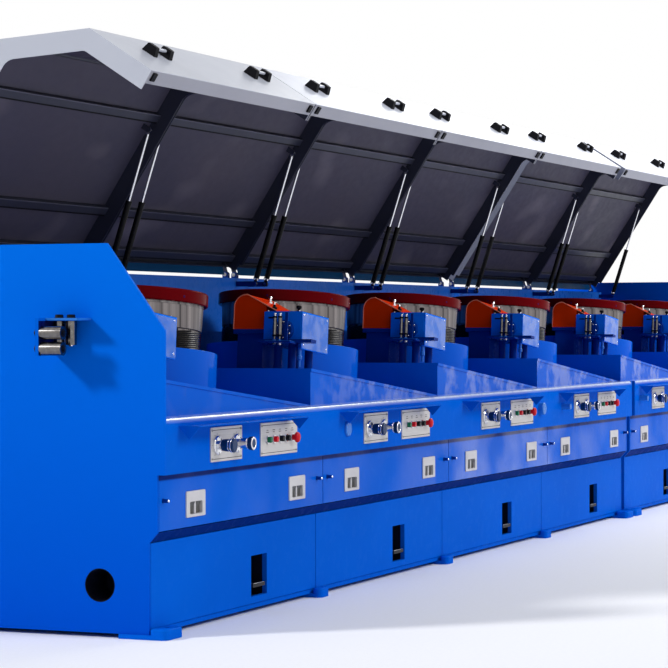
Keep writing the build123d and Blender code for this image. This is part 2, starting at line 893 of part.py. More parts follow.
# Hoods: folded skin, end frames, ribs, hinge arms, strut brackets and handles
for number, start in enumerate(bay_starts, start=1):
    low, high = bay_inside(start)
    hood_low = low + hood_gap
    hood_high = high - hood_gap
    hood_length = hood_high - hood_low
    with BuildPart() as hood:
        with BuildSketch(hood_plane(hood_low)):
            add(hood_skin_section)
        extrude(amount=hood_length)
        for frame_x in (hood_low, hood_high - hood_frame_thickness):
            with BuildSketch(hood_plane(frame_x)):
                add(hood_frame)
            extrude(amount=hood_frame_thickness)
        # Lip along the bottom of the front panel and along the rear edge
        with BuildSketch(hood_plane(hood_low)):
            with Locations(hood_point(hood_lip_width / 2, hood_lip_bottom + hood_skin / 2)):
                Rectangle(hood_lip_width, hood_skin)
            with Locations(hood_point(hood_rear_y - hood_skin / 2, plate_top - hood_rear_lip / 2)):
                Rectangle(hood_skin, hood_rear_lip)
        extrude(amount=hood_length)
        # Stiffening ribs under the top panel
        with BuildSketch(hood_plane(hood_low)):
            for rib_y in hood_rib_positions:
                with Locations(hood_point(rib_y, plate_top - hood_skin - hood_rib_depth / 2)):
                    Rectangle(hood_rib_width, hood_rib_depth)
        extrude(amount=hood_length)
        # Hinge arms
        for arm_x in (hood_low + hinge_inset, hood_high - hinge_inset - hinge_arm_thickness):
            with BuildSketch(hood_plane(arm_x)):
                Circle(hinge_eye_radius)
                with BuildLine():
                    Polyline(
                        (hinge_eye_radius, 0),
                        hood_point(hood_rear_y, plate_top - hood_skin),
                        hood_point(hood_rear_y - 2 * hinge_eye_radius, plate_top - hood_skin),
                        (-hinge_eye_radius, 0),
                        close=True,
                    )
                make_face()
                Circle(hinge_pin_radius + running_clearance, mode=Mode.SUBTRACT)
            extrude(amount=hinge_arm_thickness)
        # Strut brackets beside the rod eyes
        for strut_x, side in strut_sides(start):
            bracket_x = strut_x + side * (strut_eye_thickness / 2 + strut_side_gap)
            with BuildSketch(hood_plane(bracket_x)):
                with Locations(hood_point(strut_hood_y, strut_hood_z)):
                    Circle(strut_eye_radius)
                with Locations(hood_point(strut_hood_y, (strut_hood_z + plate_top - hood_skin) / 2)):
                    Rectangle(2 * strut_eye_radius, plate_top - hood_skin - strut_hood_z)
            extrude(amount=side * strut_lug_thickness)
        # Handles on the front panel: two sloped blocks and a bar
        for handle_x in hood_handle_positions:
            for end in (-1, 1):
                block_x = start + handle_x + end * hood_handle_length / 2
                with BuildSketch(hood_plane(block_x - hood_handle_block / 2)):
                    with BuildLine():
                        Polyline(
                            hood_point(0.0, hood_handle_z - hood_handle_block / 2 - hood_handle_slope),
                            hood_point(-hood_handle_stand, hood_handle_z - hood_handle_block / 2),
                            hood_point(-hood_handle_stand, hood_handle_z + hood_handle_block / 2),
                            hood_point(0.0, hood_handle_z + hood_handle_block / 2 + hood_handle_slope),
                            close=True,
                        )
                    make_face()
                extrude(amount=hood_handle_block)
            with BuildSketch(hood_plane(start + handle_x - hood_handle_length / 2)):
                with Locations(hood_point(-hood_handle_stand + hood_handle_bar, hood_handle_z)):
                    Circle(hood_handle_bar / 2)
            extrude(amount=hood_handle_length)
    save(hood.part, "hood_" + str(number))

# Hinge lugs and pins on the cabinet top, strut lugs and pins on its front
with BuildPart() as hood_brackets:
    for start in bay_starts:
        low, high = bay_inside(start)
        hood_low = low + hood_gap
        hood_high = high - hood_gap
        for arm_x in (hood_low + hinge_inset, hood_high - hinge_inset - hinge_arm_thickness):
            left = arm_x - hinge_side_gap - hinge_lug_thickness
            right = arm_x + hinge_arm_thickness + hinge_side_gap
            for lug_x in (left, right):
                with BuildSketch(side_plane(lug_x)):
                    with Locations((hinge_y, hinge_z)):
                        Circle(hinge_eye_radius)
                    with Locations((hinge_y, (hinge_z + cabinet_top) / 2)):
                        Rectangle(2 * hinge_eye_radius, hinge_z - cabinet_top)
                extrude(amount=hinge_lug_thickness)
            with BuildSketch(side_plane(left)):
                with Locations((hinge_y, hinge_z)):
                    Circle(hinge_pin_radius)
            extrude(amount=right + hinge_lug_thickness - left)
        for strut_x, side in strut_sides(start):
            lug_x = strut_x + side * (strut_eye_thickness / 2 + strut_side_gap)
            with BuildSketch(side_plane(lug_x)):
                with Locations((strut_low_y, strut_low_z)):
                    Circle(strut_eye_radius)
                with Locations(((strut_low_y + cabinet_front) / 2, strut_low_z)):
                    Rectangle(cabinet_front - strut_low_y, 2 * strut_eye_radius)
            extrude(amount=side * strut_lug_thickness)
            with BuildSketch(side_plane(lug_x)):
                with Locations((strut_low_y, strut_low_z)):
                    Circle(strut_pin_radius)
            extrude(amount=-side * (strut_eye_thickness + strut_side_gap))
save(hood_brackets.part, "hood_brackets")

# Gas struts in the open position
strut_top_y, strut_top_z = opened(strut_hood_y, strut_hood_z)
strut_open_length = math.hypot(strut_top_y - strut_low_y, strut_top_z - strut_low_z)
strut_dir = Vector(
    0,
    (strut_top_y - strut_low_y) / strut_open_length,
    (strut_top_z - strut_low_z) / strut_open_length,
)
barrel_end = strut_barrel_start + strut_barrel_length


def strut_plane(x, distance):
    """Plane across a strut, distance along it from its lower pivot."""
    origin = Vector(x, strut_low_y, strut_low_z) + strut_dir * distance
    return Plane(origin=origin, x_dir=(1, 0, 0), z_dir=strut_dir)


def strut_eye(x, distance, reach, bored):
    """Flat eye across x, with a shank that runs reach along the strut."""
    centre = strut_plane(x - strut_eye_thickness / 2, distance).origin
    with BuildPart() as eye:
        with BuildSketch(Plane(origin=centre, x_dir=strut_dir, z_dir=(1, 0, 0))):
            Circle(strut_eye_radius)
            with Locations((reach / 2, 0)):
                Rectangle(abs(reach), strut_shank_width)
            if bored:
                Circle(strut_pin_radius + running_clearance, mode=Mode.SUBTRACT)
        extrude(amount=strut_eye_thickness)
    return eye.part


for number, start in enumerate(bay_starts, start=1):
    strut_places = [x for x, side in strut_sides(start)]
    low_eyes = [strut_eye(x, 0.0, strut_barrel_start, True) for x in strut_places]
    top_eyes = [strut_eye(x, strut_open_length, -strut_barrel_start, False) for x in strut_places]
    with BuildPart() as strut_barrels:
        for x in strut_places:
            with BuildSketch(strut_plane(x, strut_barrel_start)):
                Circle(strut_barrel_radius)
            extrude(amount=strut_barrel_length)
            with BuildSketch(strut_plane(x, strut_bore_start)):
                Circle(strut_rod_radius + running_clearance)
            extrude(amount=barrel_end - strut_bore_start, mode=Mode.SUBTRACT)
        add(low_eyes)
    save(strut_barrels.part, "strut_barrels_" + str(number))

    rod_start = barrel_end - strut_rod_insertion
    with BuildPart() as strut_rods:
        for x in strut_places:
            with BuildSketch(strut_plane(x, rod_start)):
                Circle(strut_rod_radius)
            extrude(amount=strut_open_length - strut_eye_radius / 2 - rod_start)
        add(top_eyes)
    save(strut_rods.part, "strut_rods_" + str(number))

# Foot pedals: a treadle with a raised toe, hung on the pin across its recess
for number, start in enumerate(bay_starts, start=1):
    with BuildPart() as pedal:
        with BuildSketch(side_plane(start + slot_x + (slot_width - pedal_width) / 2)):
            with BuildLine():
                Polyline(
                    (pedal_pivot_y, pedal_pivot_z + pedal_hub_radius),
                    (pedal_front_y, pedal_front_z + pedal_thickness),
                    (pedal_front_y, pedal_front_z + pedal_toe_height),
                    (pedal_front_y - pedal_thickness, pedal_front_z + pedal_toe_height),
                    (pedal_front_y - pedal_thickness, pedal_front_z),
                    (pedal_pivot_y, pedal_pivot_z - pedal_heel_drop),
                    close=True,
                )
            make_face()
            with Locations((pedal_pivot_y, pedal_pivot_z)):
                Circle(pedal_hub_radius)
                Circle(pedal_pin_radius + running_clearance, mode=Mode.SUBTRACT)
        extrude(amount=pedal_width)
    save(pedal.part, "pedal_" + str(number))

# Canopies over the control plates, with a three-cornered gusset at each end
with BuildPart() as band_canopies:
    for start in bay_starts:
        with BuildSketch(side_plane(start + canopy_start)):
            with Locations((-canopy_projection / 2, canopy_top - canopy_sheet / 2)):
                Rectangle(canopy_projection, canopy_sheet)
        extrude(amount=canopy_end - canopy_start)
        for gusset_x in (start + canopy_start, start + canopy_end - canopy_sheet):
            with BuildSketch(side_plane(gusset_x)):
                with BuildLine():
                    Polyline(
                        (0, canopy_top - canopy_sheet / 2),
                        (-canopy_projection, canopy_top - canopy_sheet / 2),
                        (-canopy_projection / 2, canopy_top - canopy_gusset_drop),
                        close=True,
                    )
                make_face()
            extrude(amount=canopy_sheet)
save(band_canopies.part, "band_canopies")

# Control plates
plate_middle_z = plate_bottom + plate_height / 2
with BuildPart() as control_plates:
    for plate_start, plate_width in (
        (regulator_plate_start, regulator_plate_width),
        (button_plate_start, button_plate_width),
    ):
        middles = [(start + plate_start + plate_width / 2, plate_middle_z) for start in bay_starts]
        with BuildSketch(front_plane(0.0)):
            with Locations(*middles):
                RectangleRounded(plate_width, plate_height, plate_corner_radius)
        extrude(amount=plate_thickness)
save(control_plates.part, "control_plates")

# Regulators turned from one profile: bezel, neck, body, waist and cap
neck_end = bezel_thickness + regulator_neck_length
body_end = neck_end + regulator_body_length
waist_end = body_end + regulator_waist_length
with BuildPart() as regulators:
    for start in bay_starts:
        for x in regulator_positions:
            with BuildSketch(turning_plane(start + x, -plate_thickness, control_z)):
                with BuildLine():
                    Polyline(
                        (0, 0),
                        (bezel_radius, 0),
                        (bezel_radius, bezel_bevel),
                        (bezel_radius - bezel_bevel, bezel_thickness),
                        (regulator_neck_radius, bezel_thickness),
                        (regulator_neck_radius, neck_end),
                        (regulator_body_radius, neck_end),
                        (regulator_body_radius, body_end),
                        (regulator_neck_radius, body_end),
                        (regulator_neck_radius, waist_end),
                        (regulator_cap_radius, waist_end),
                        (regulator_cap_radius, waist_end + regulator_cap_length),
                        (0, waist_end + regulator_cap_length),
                        close=True,
                    )
                make_face()
            revolve(axis=operator_axis(start + x, control_z))
save(regulators.part, "regulators")

# Push buttons, with the emergency stop's mushroom last
dome_start = button_bezel_length + mushroom_stem_length
dome_rim = dome_start + mushroom_rim
dome_top = dome_rim + mushroom_dome
with BuildPart() as push_buttons:
    for start in bay_starts:
        spots = [(start + button_start + n * button_spacing, control_z) for n in range(button_count)]
        with BuildSketch(front_plane(-plate_thickness)):
            with Locations(*spots[:-1]):
                Circle(button_bezel_radius)
        extrude(amount=button_bezel_length)
        with BuildSketch(front_plane(-plate_thickness - button_bezel_length)):
            with Locations(*spots[:-1]):
                Circle(button_cap_radius)
        extrude(amount=button_cap_length)
        with BuildSketch(turning_plane(spots[-1][0], -plate_thickness, control_z)):
            with BuildLine():
                Polyline(
                    (0, dome_top),
                    (0, 0),
                    (button_bezel_radius, 0),
                    (button_bezel_radius, button_bezel_length),
                    (button_cap_radius, button_bezel_length),
                    (button_cap_radius, dome_start),
                    (mushroom_radius, dome_start),
                    (mushroom_radius, dome_rim),
                )
                TangentArc((0, dome_top), (mushroom_radius, dome_rim), tangent=(1, 0))
            make_face()
        revolve(axis=operator_axis(spots[-1][0], control_z))
save(push_buttons.part, "push_buttons")

# Round caps and knobs on the band
with BuildPart() as band_caps:
    for bay, x, length in band_cap_places:
        with BuildSketch(front_plane(0.0)):
            with Locations((bay_starts[bay - 1] + x, band_cap_z)):
                Circle(band_cap_radius)
        extrude(amount=length)
        chamfer(band_caps.edges(Select.LAST).group_by(Axis.Y)[0], band_cap_bevel)
    for bay, x in band_knob_places:
        with BuildSketch(front_plane(0.0)):
            with Locations((bay_starts[bay - 1] + x, band_cap_z)):
                Circle(band_knob_radius)
        extrude(amount=band_knob_length)
        fillet(band_caps.edges(Select.LAST).group_by(Axis.Y)[0], band_cap_bevel)
save(band_caps.part, "band_caps")

# Feet: corner feet with anchor holes in thick lugs, and smaller ones under the seams
rear_low = machine_depth - rear_foot_depth
rear_high = machine_depth + foot_rear_overhang
front_lug_back = lower_panel_front - foot_panel_gap
rear_lug_front = machine_depth + foot_panel_gap
corner_xs = [low - foot_overhang + foot_length / 2 for low, high in section_spans]
corner_xs += [high + foot_overhang - foot_length / 2 for low, high in section_spans]
seam_xs = [start for start in bay_starts if not is_section_start(start)]
with BuildPart() as machine_feet:
    # Lugs that stand out before and behind the bed
    for xs, length, y_low, y_high in (
        (corner_xs, foot_length, -foot_overhang, front_lug_back),
        (corner_xs, foot_length, rear_lug_front, rear_high),
        (seam_xs, seam_foot_length, seam_foot_front, front_lug_back),
    ):
        with BuildSketch(Plane.XY):
            with Locations(*[(x, (y_low + y_high) / 2) for x in xs]):
                RectangleRounded(length, y_high - y_low, min(foot_lug_radius, (y_high - y_low) / 2.1))
        extrude(amount=foot_lug_height)
    fillet(machine_feet.faces().group_by(Axis.Z)[-1].edges(), foot_lug_edge)
    # Plates that run from the lugs in under the bed
    for xs, length, y_low, y_high in (
        (corner_xs, foot_length, front_lug_back - foot_lug_radius, foot_back),
        (corner_xs, foot_length, rear_low, rear_lug_front + foot_lug_radius),
        (seam_xs, seam_foot_length, front_lug_back - foot_lug_radius, foot_back),
        (seam_xs, seam_foot_length, rear_low, machine_depth),
    ):
        with BuildSketch(Plane.XY):
            with Locations(*[(x, (y_low + y_high) / 2) for x in xs]):
                Rectangle(length, y_high - y_low)
        extrude(amount=foot_thickness)
    # Anchor holes
    with BuildSketch(Plane.XY):
        for hole_y in (foot_hole_inset - foot_overhang, rear_high - foot_hole_inset):
            with Locations(*[(x, hole_y) for x in corner_xs]):
                Circle(foot_hole_radius)
    extrude(amount=foot_lug_height, mode=Mode.SUBTRACT)
save(machine_feet.part, "machine_feet")

# Entry wire guide: cheek plate and roof on the entry plate
entry_roof_top = entry_guide_z + entry_roof_rise
entry_pair_reach = entry_roller_gap / 2 + 2 * entry_upright_radius
entry_cheek_y = entry_guide_y + entry_pair_reach + entry_cheek_gap
entry_roof_front = entry_guide_y - entry_pair_reach - entry_roof_overhang
with BuildPart() as entry_wire_guide:
    with BuildSketch(Plane.XY.offset(entry_roof_top - entry_cheek_height)):
        with Locations((0, entry_cheek_y)):
            Rectangle(entry_cheek_length, entry_cheek_thickness, align=(Align.MAX, Align.MIN))
    extrude(amount=entry_cheek_height)
    with BuildSketch(Plane.XY.offset(entry_roof_top - entry_roof_thickness)):
        with Locations((0, entry_roof_front)):
            Rectangle(entry_roof_length, entry_cheek_y - entry_roof_front, align=(Align.MAX, Align.MIN))
    extrude(amount=entry_roof_thickness)
save(entry_wire_guide.part, "entry_wire_guide")

# Guide rollers on pins before each die, and two pairs at the entry
roller_low = wire_height + guide_roller_above_wire - guide_roller_length
with BuildPart() as guide_rollers:
    for start in bay_starts:
        for radius, low, high in (
            (guide_pin_radius, base_top, roller_low),
            (guide_roller_radius, roller_low, roller_low + guide_roller_length),
        ):
            with BuildSketch(deck_plane(start, guide_roller_u, wire_y, low)):
                with GridLocations(0, 2 * guide_roller_radius + guide_roller_gap, 1, 2):
                    Circle(radius)
            extrude(amount=high - low)
    # Upright pair under the roof
    with BuildSketch(Plane.XY.offset(entry_roof_top - entry_roof_thickness)):
        with Locations((-entry_upright_x, entry_guide_y)):
            with GridLocations(0, 2 * entry_upright_radius + entry_roller_gap, 1, 2):
                Circle(entry_upright_radius)
    extrude(amount=-entry_roller_length)
    # Level pair on the cheek
    with BuildSketch(front_plane(entry_cheek_y)):
        with Locations((-entry_cheek_length + entry_level_radius, entry_guide_z)):
            with GridLocations(0, 2 * entry_level_radius + entry_roller_gap, 1, 2):
                Circle(entry_level_radius)
    extrude(amount=entry_roller_length)
save(guide_rollers.part, "guide_rollers")
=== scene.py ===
import json
import math

import bmesh
import bpy
from mathutils import Matrix, Vector


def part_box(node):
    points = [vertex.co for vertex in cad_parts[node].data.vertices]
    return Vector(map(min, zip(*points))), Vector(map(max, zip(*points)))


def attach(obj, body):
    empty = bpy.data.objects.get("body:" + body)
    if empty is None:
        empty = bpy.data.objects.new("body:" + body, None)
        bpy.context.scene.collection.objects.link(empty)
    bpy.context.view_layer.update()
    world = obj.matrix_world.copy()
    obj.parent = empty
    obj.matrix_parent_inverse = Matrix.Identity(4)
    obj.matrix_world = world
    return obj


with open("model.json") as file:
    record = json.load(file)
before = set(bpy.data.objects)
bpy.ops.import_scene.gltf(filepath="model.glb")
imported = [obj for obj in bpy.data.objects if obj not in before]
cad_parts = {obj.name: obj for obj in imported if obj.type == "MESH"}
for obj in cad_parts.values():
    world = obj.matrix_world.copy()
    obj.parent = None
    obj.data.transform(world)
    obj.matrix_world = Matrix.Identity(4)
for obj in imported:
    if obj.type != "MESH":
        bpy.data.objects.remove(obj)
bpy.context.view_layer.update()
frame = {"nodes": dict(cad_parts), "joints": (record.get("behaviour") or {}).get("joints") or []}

# Places read from the frame, in metres

joints = {joint["name"]: joint for joint in frame["joints"]}
bays = range(1, 1 + sum(name.startswith("hood_hinge_") for name in joints))
hinge_points = [Vector(joints[f"hood_hinge_{bay}"]["pos_m"]) for bay in bays]
bay_pitch = hinge_points[1].x - hinge_points[0].x
bay_starts = [point.x - bay_pitch / 2 for point in hinge_points]
drum_points = [Vector(joints[f"drum_spin_{bay}"]["pos_m"]) for bay in bays]
drum_axis = Vector(joints["drum_spin_1"]["axis"])
deck_tilt = math.atan2(drum_axis.x, drum_axis.z)
hood_open_angle = math.radians(joints["hood_hinge_1"]["range_deg"][1])
hinge_y = hinge_points[0].y
hinge_z = hinge_points[0].z
panel_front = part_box("cover_panels")[0].y
lower_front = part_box("lower_panels")[0].y
plate_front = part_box("control_plates")[0].y
plate_low_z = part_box("control_plates")[0].z
plate_high_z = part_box("control_plates")[1].z
latch_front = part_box("cover_latches")[0].y
deck_high = 0.930
wire_y = 0.379

# Hood sizes, in metres on a closed hood

skin = 0.004
hood_top_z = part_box("entry_end_plate")[1].z
top_front_y = 0.228
knee_z = 1.092
lip_bottom_z = 0.797
hood_rear_y = 1.115
frame_thickness = 0.006
rib_depth = 0.025
rib_width = 0.040
rib_positions = (0.420, 0.875, 1.070)
handle_places = (0.340, bay_pitch - 0.275)
handle_z = 0.965
handle_length = 0.120
handle_stand = 0.034
handle_block = 0.026
handle_slope = 0.009
end_plate_thickness = 0.012
hood_gap = 0.005
last_bay_of_first_section = 4
section_starts = (bay_starts[0], bay_starts[last_bay_of_first_section])
section_ends = (bay_starts[last_bay_of_first_section - 1], bay_starts[-1])
skirt_top_z = 1.376
skirt_inset = 0.075

tiny = 1e-7
world_frame = Matrix.Identity(4)


# Frames to build in

def placed(origin, normal, up=(0, 0, 1)):
    """Matrix with local z along normal and local y as near to up as it can be."""
    z_axis = Vector(normal).normalized()
    x_axis = Vector(up).cross(z_axis)
    if x_axis.length < tiny:
        x_axis = Vector((1, 0, 0))
    x_axis.normalize()
    matrix = Matrix((x_axis, z_axis.cross(x_axis), z_axis)).transposed().to_4x4()
    matrix.translation = Vector(origin)
    return matrix


def moved(matrix, x=0.0, y=0.0, z=0.0):
    """Matrix moved along its own axes."""
    return matrix @ Matrix.Translation((x, y, z))


def turned(matrix, degrees):
    """Matrix turned about its own z."""
    return matrix @ Matrix.Rotation(math.radians(degrees), 4, "Z")


def front_at(x, y, z):
    """Frame on a front face: local x along the line, local y up, local z to the operator."""
    return placed((x, y, z), (0, -1, 0))


def deck_frame(start, u=0.0, v=0.0, h=0.0):
    """Frame on a sloping deck: local x down the slope, local y to the back, local z off the deck."""
    return moved(Matrix.Translation((start, 0, deck_high)) @ Matrix.Rotation(deck_tilt, 4, "Y"), u, v, h)


def hood_frame():
    """Frame of an open hood: local x along the line, local y and z as on the closed hood."""
    turn = Matrix.Translation((0, hinge_y, hinge_z)) @ Matrix.Rotation(-hood_open_angle, 4, "X")
    return moved(turn, 0, -hinge_y, -hinge_z)


def drum_frame(centre):
    """Frame of a drum: local z up its axis from the deck."""
    axis_point_above_deck = 0.3
    return placed(centre - drum_axis * axis_point_above_deck, drum_axis, (0, 1, 0))


def hood_span(start):
    """Where the hood of a bay starts and ends along the line."""
    low = start + hood_gap + (end_plate_thickness if start in section_starts else 0.0)
    high = start + bay_pitch - hood_gap - (end_plate_thickness if start in section_ends else 0.0)
    return low, high


def in_each_bay(*builders, places=bay_starts):
    for bay, place in zip(bays, places):
        for build in builders:
            build(bay, place)


# Mesh helpers

def around(radius, angle, height=0.0):
    """Point at an angle about local z."""
    return Vector((radius * math.cos(angle), radius * math.sin(angle), height))


def ring_points(bm, matrix, radius, height, segments):
    """Ring of points about local z, or a single point on it."""
    if radius < tiny:
        return [bm.verts.new(matrix @ Vector((0, 0, height)))]
    angles = (2 * math.pi * step / segments for step in range(segments))
    return [bm.verts.new(matrix @ around(radius, angle, height)) for angle in angles]


def join_rings(bm, rings):
    """Faces between each ring and the next, all with as many points."""
    for low, high in zip(rings, rings[1:]):
        for step in range(len(low)):
            following = (step + 1) % len(low)
            bm.faces.new((low[step], low[following], high[following], high[step]))


def close_ends(bm, rings):
    bm.faces.new(list(reversed(rings[0])))
    bm.faces.new(rings[-1])


def lathe(bm, matrix, profile, segments=32):
    """Solid of revolution about local z through profile points (radius, height)."""
    rings = [ring_points(bm, matrix, radius, height, segments) for radius, height in profile]
    for low, high in zip(rings, rings[1:]):
        for step in range(segments):
            following = (step + 1) % segments
            corners = [low[step % len(low)], low[following % len(low)]]
            corners += [high[following % len(high)], high[step % len(high)]]
            unique = list(dict.fromkeys(corners))
            if len(unique) > 2:
                bm.faces.new(unique)
    for ring, flip in ((rings[0], True), (rings[-1], False)):
        if len(ring) > 1:
            bm.faces.new(list(reversed(ring)) if flip else ring)


def disc(bm, matrix, radius, length, segments=24, edge=0.0):
    """Cylinder from local z 0 to length, its end edge broken by edge."""
    profile = [(radius, 0.0), (radius, length - edge)]
    if edge > 0:
        profile.append((radius - edge, length))
    lathe(bm, matrix, profile, segments)


def collar(bm, matrix, outer, inner, length, segments=32, edge=0.0005):
    """Ring with an open middle from local z 0 to length."""
    profile = [
        (inner, 0.0), (outer, 0.0), (outer, length - edge), (outer - edge, length),
        (inner + edge, length), (inner, length - edge),
    ]
    rings = [ring_points(bm, matrix, radius, height, segments) for radius, height in profile]
    join_rings(bm, rings + rings[:1])


def rounded_outline(width, height, radius, steps=4):
    """Corner points of a rounded rectangle about the origin, counter-clockwise."""
    points = []
    for corner, (sx, sy) in enumerate(((1, 1), (-1, 1), (-1, -1), (1, -1))):
        for step in range(steps + 1):
            angle = math.pi / 2 * (corner + step / steps)
            points.append((
                sx * (width / 2 - radius) + radius * math.cos(angle),
                sy * (height / 2 - radius) + radius * math.sin(angle),
            ))
    return points


def slab(bm, matrix, outline, thickness, edge=0.0):
    """Outline from local z 0 to thickness, its front edge broken by edge."""
    count = len(outline)
    centre = Vector((sum(p[0] for p in outline) / count, sum(p[1] for p in outline) / count))
    layers = [(0.0, 0.0), (thickness - edge, 0.0)]
    if edge > 0:
        layers.append((thickness, edge))
    rings = []
    for height, inset in layers:
        ring = []
        for corner in outline:
            away = Vector(corner) - centre
            x, y = (at - math.copysign(inset if abs(off) > tiny else 0.0, off) for at, off in zip(corner, away))
            ring.append(bm.verts.new(matrix @ Vector((x, y, height))))
        rings.append(ring)
    join_rings(bm, rings)
    close_ends(bm, rings)


def block(bm, matrix, low, high):
    """Box between two local corners."""
    corners = [
        bm.verts.new(matrix @ Vector((x, y, z)))
        for z in (low[2], high[2]) for y in (low[1], high[1]) for x in (low[0], high[0])
    ]
    for face in ((0, 2, 3, 1), (4, 5, 7, 6), (0, 1, 5, 4), (2, 6, 7, 3), (0, 4, 6, 2), (1, 3, 7, 5)):
        bm.faces.new([corners[index] for index in face])


def prism(bm, matrix, outline, low_x, high_x):
    """Outline in local y and z, run along local x from low_x to high_x."""
    ends = [[bm.verts.new(matrix @ Vector((x, y, z))) for y, z in outline] for x in (low_x, high_x)]
    join_rings(bm, ends)
    close_ends(bm, ends)


def tube(bm, points, radius, sides=8):
    """Round bar along a list of points."""
    rings = []
    for index, point in enumerate(points):
        before = points[max(index - 1, 0)]
        after = points[min(index + 1, len(points) - 1)]
        rings.append(ring_points(bm, placed(point, Vector(after) - Vector(before)), radius, 0, sides))
    join_rings(bm, rings)
    close_ends(bm, rings)


def hex_bolt(bm, matrix, size):
    """Hexagon head of thread size on its washer, standing at local z 0."""
    washer = 0.16 * size
    disc(bm, matrix, 1.1 * size, washer, 24, 0.04 * size)
    across = 0.92 * size
    profile = [(across, washer), (across, washer + 0.55 * size), (0.82 * across, washer + 0.66 * size)]
    lathe(bm, matrix, profile, 6)


def socket_screw(bm, matrix, radius, height):
    """Round screw head with a hexagonal socket."""
    socket = 0.5 * radius
    floor = 0.45 * height
    profile = [
        (radius, 0.0), (radius, 0.8 * height), (0.85 * radius, height),
        (socket, height), (socket, floor), (0.0, floor),
    ]
    lathe(bm, matrix, profile, 18)


def knurled(bm, matrix, low_radius, high_radius, low, high, ridges):
    """Grip with ridges along it, from low to high along local z."""
    steps = 2 * ridges
    edge = 0.0012
    ridge = 0.0009
    rings = []
    for radius, height in (
        (low_radius - edge, low), (low_radius, low + edge), (high_radius, high - edge), (high_radius - edge, high),
    ):
        ring = []
        for step in range(steps):
            reach = radius if step % 2 else radius - ridge
            ring.append(bm.verts.new(matrix @ around(reach, 2 * math.pi * step / steps, height)))
        rings.append(ring)
    join_rings(bm, rings)
    close_ends(bm, rings)


def finished(bm, name, paint, body="machine", smooth_angle=35.0, bevel=0.0):
    """Turn a bmesh into a piece that rides on a body."""
    bmesh.ops.recalc_face_normals(bm, faces=bm.faces)
    mesh = bpy.data.meshes.new(name)
    bm.to_mesh(mesh)
    bm.free()
    mesh.materials.append(paints[paint])
    piece = bpy.data.objects.new(name, mesh)
    bpy.context.scene.collection.objects.link(piece)
    for polygon in mesh.polygons:
        polygon.use_smooth = True
    mesh.set_sharp_from_angle(angle=math.radians(smooth_angle))
    if bevel > 0:
        rounding = piece.modifiers.new("edges", "BEVEL")
        rounding.width = bevel
        rounding.segments = 2
        rounding.limit_method = "ANGLE"
        rounding.angle_limit = math.radians(40)
    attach(piece, body)


# Material helpers

paints = {}


def start_material(name):
    """Shader node of a new material, which is kept in paints under its name."""
    material = bpy.data.materials.new(name)
    paints[name] = material
    material.use_nodes = True
    tree = material.node_tree
    tree.nodes.clear()
    shader = tree.nodes.new("ShaderNodeBsdfPrincipled")
    output = tree.nodes.new("ShaderNodeOutputMaterial")
    tree.links.new(shader.outputs["BSDF"], output.inputs["Surface"])
    return shader


def feed(node, inputs):
    """Link sockets of a node, or set those whose value is plain."""
    for name, value in inputs.items():
        if isinstance(value, bpy.types.NodeSocket):
            node.id_data.links.new(value, node.inputs[name])
        else:
            node.inputs[name].default_value = value


def made(near, kind, inputs, output, **settings):
    """Output of a new node, made in the tree of another node or socket."""
    node = near.id_data.nodes.new(f"ShaderNode{kind}")
    for name, value in settings.items():
        setattr(node, name, value)
    feed(node, inputs)
    return node.outputs[output]


def coordinates(near, scale=(1, 1, 1), kind="Object", rotation=(0, 0, 0), location=(0, 0, 0)):
    source = made(near, "TexCoord", {}, kind)
    inputs = {"Scale": scale, "Rotation": rotation, "Location": location, "Vector": source}
    return made(near, "Mapping", inputs, "Vector")


def noise(place, scale, detail=2.0, roughness=0.5):
    inputs = {"Scale": scale, "Detail": detail, "Roughness": roughness, "Vector": place}
    return made(place, "TexNoise", inputs, "Fac")


def spread(value, from_low, from_high, to_low=0.0, to_high=1.0):
    inputs = {"From Min": from_low, "From Max": from_high, "To Min": to_low, "To Max": to_high, "Value": value}
    return made(value, "MapRange", inputs, "Result")


def clouds(place, scale, detail, low=0.3, high=0.7, to_low=0.0, to_high=1.0, roughness=0.5):
    """Noise between low and high, spread from to_low to to_high."""
    return spread(noise(place, scale, detail, roughness), low, high, to_low, to_high)


def math_node(operation, first, second):
    near = first if isinstance(first, bpy.types.NodeSocket) else second
    return made(near, "Math", {0: first, 1: second}, "Value", operation=operation)


def mixed(factor, low, high):
    """Colour between low and high, each a colour or a socket."""
    low, high = ((*color, 1.0) if isinstance(color, tuple) else color for color in (low, high))
    return made(factor, "Mix", {"Factor": factor, 6: low, 7: high}, 2, data_type="RGBA")


def bumped(height, strength, distance):
    return made(height, "Bump", {"Strength": strength, "Distance": distance, "Height": height}, "Normal")


def along_axis(place, axis):
    return made(place, "SeparateXYZ", {"Vector": place}, axis)


def mask(place, *parts):
    """Product of bands along an axis, in metres, and of clouds, which start with their scale."""
    result = None
    for part in parts:
        if isinstance(part[0], str):
            value = spread(along_axis(place, part[0]), *part[1:])
        else:
            value = clouds(place, *part)
        result = value if result is None else math_node("MULTIPLY", result, value)
    return result


# Kinds of surface

def cover(shader, color, roughness, normal=None, shine=0.5, metallic=0.0):
    """Set the look of a surface; shine is the level of its mirror light."""
    feed(shader, {"Base Color": color, "Roughness": roughness, "Specular IOR Level": shine, "Metallic": metallic})
    if normal is not None:
        feed(shader, {"Normal": normal})


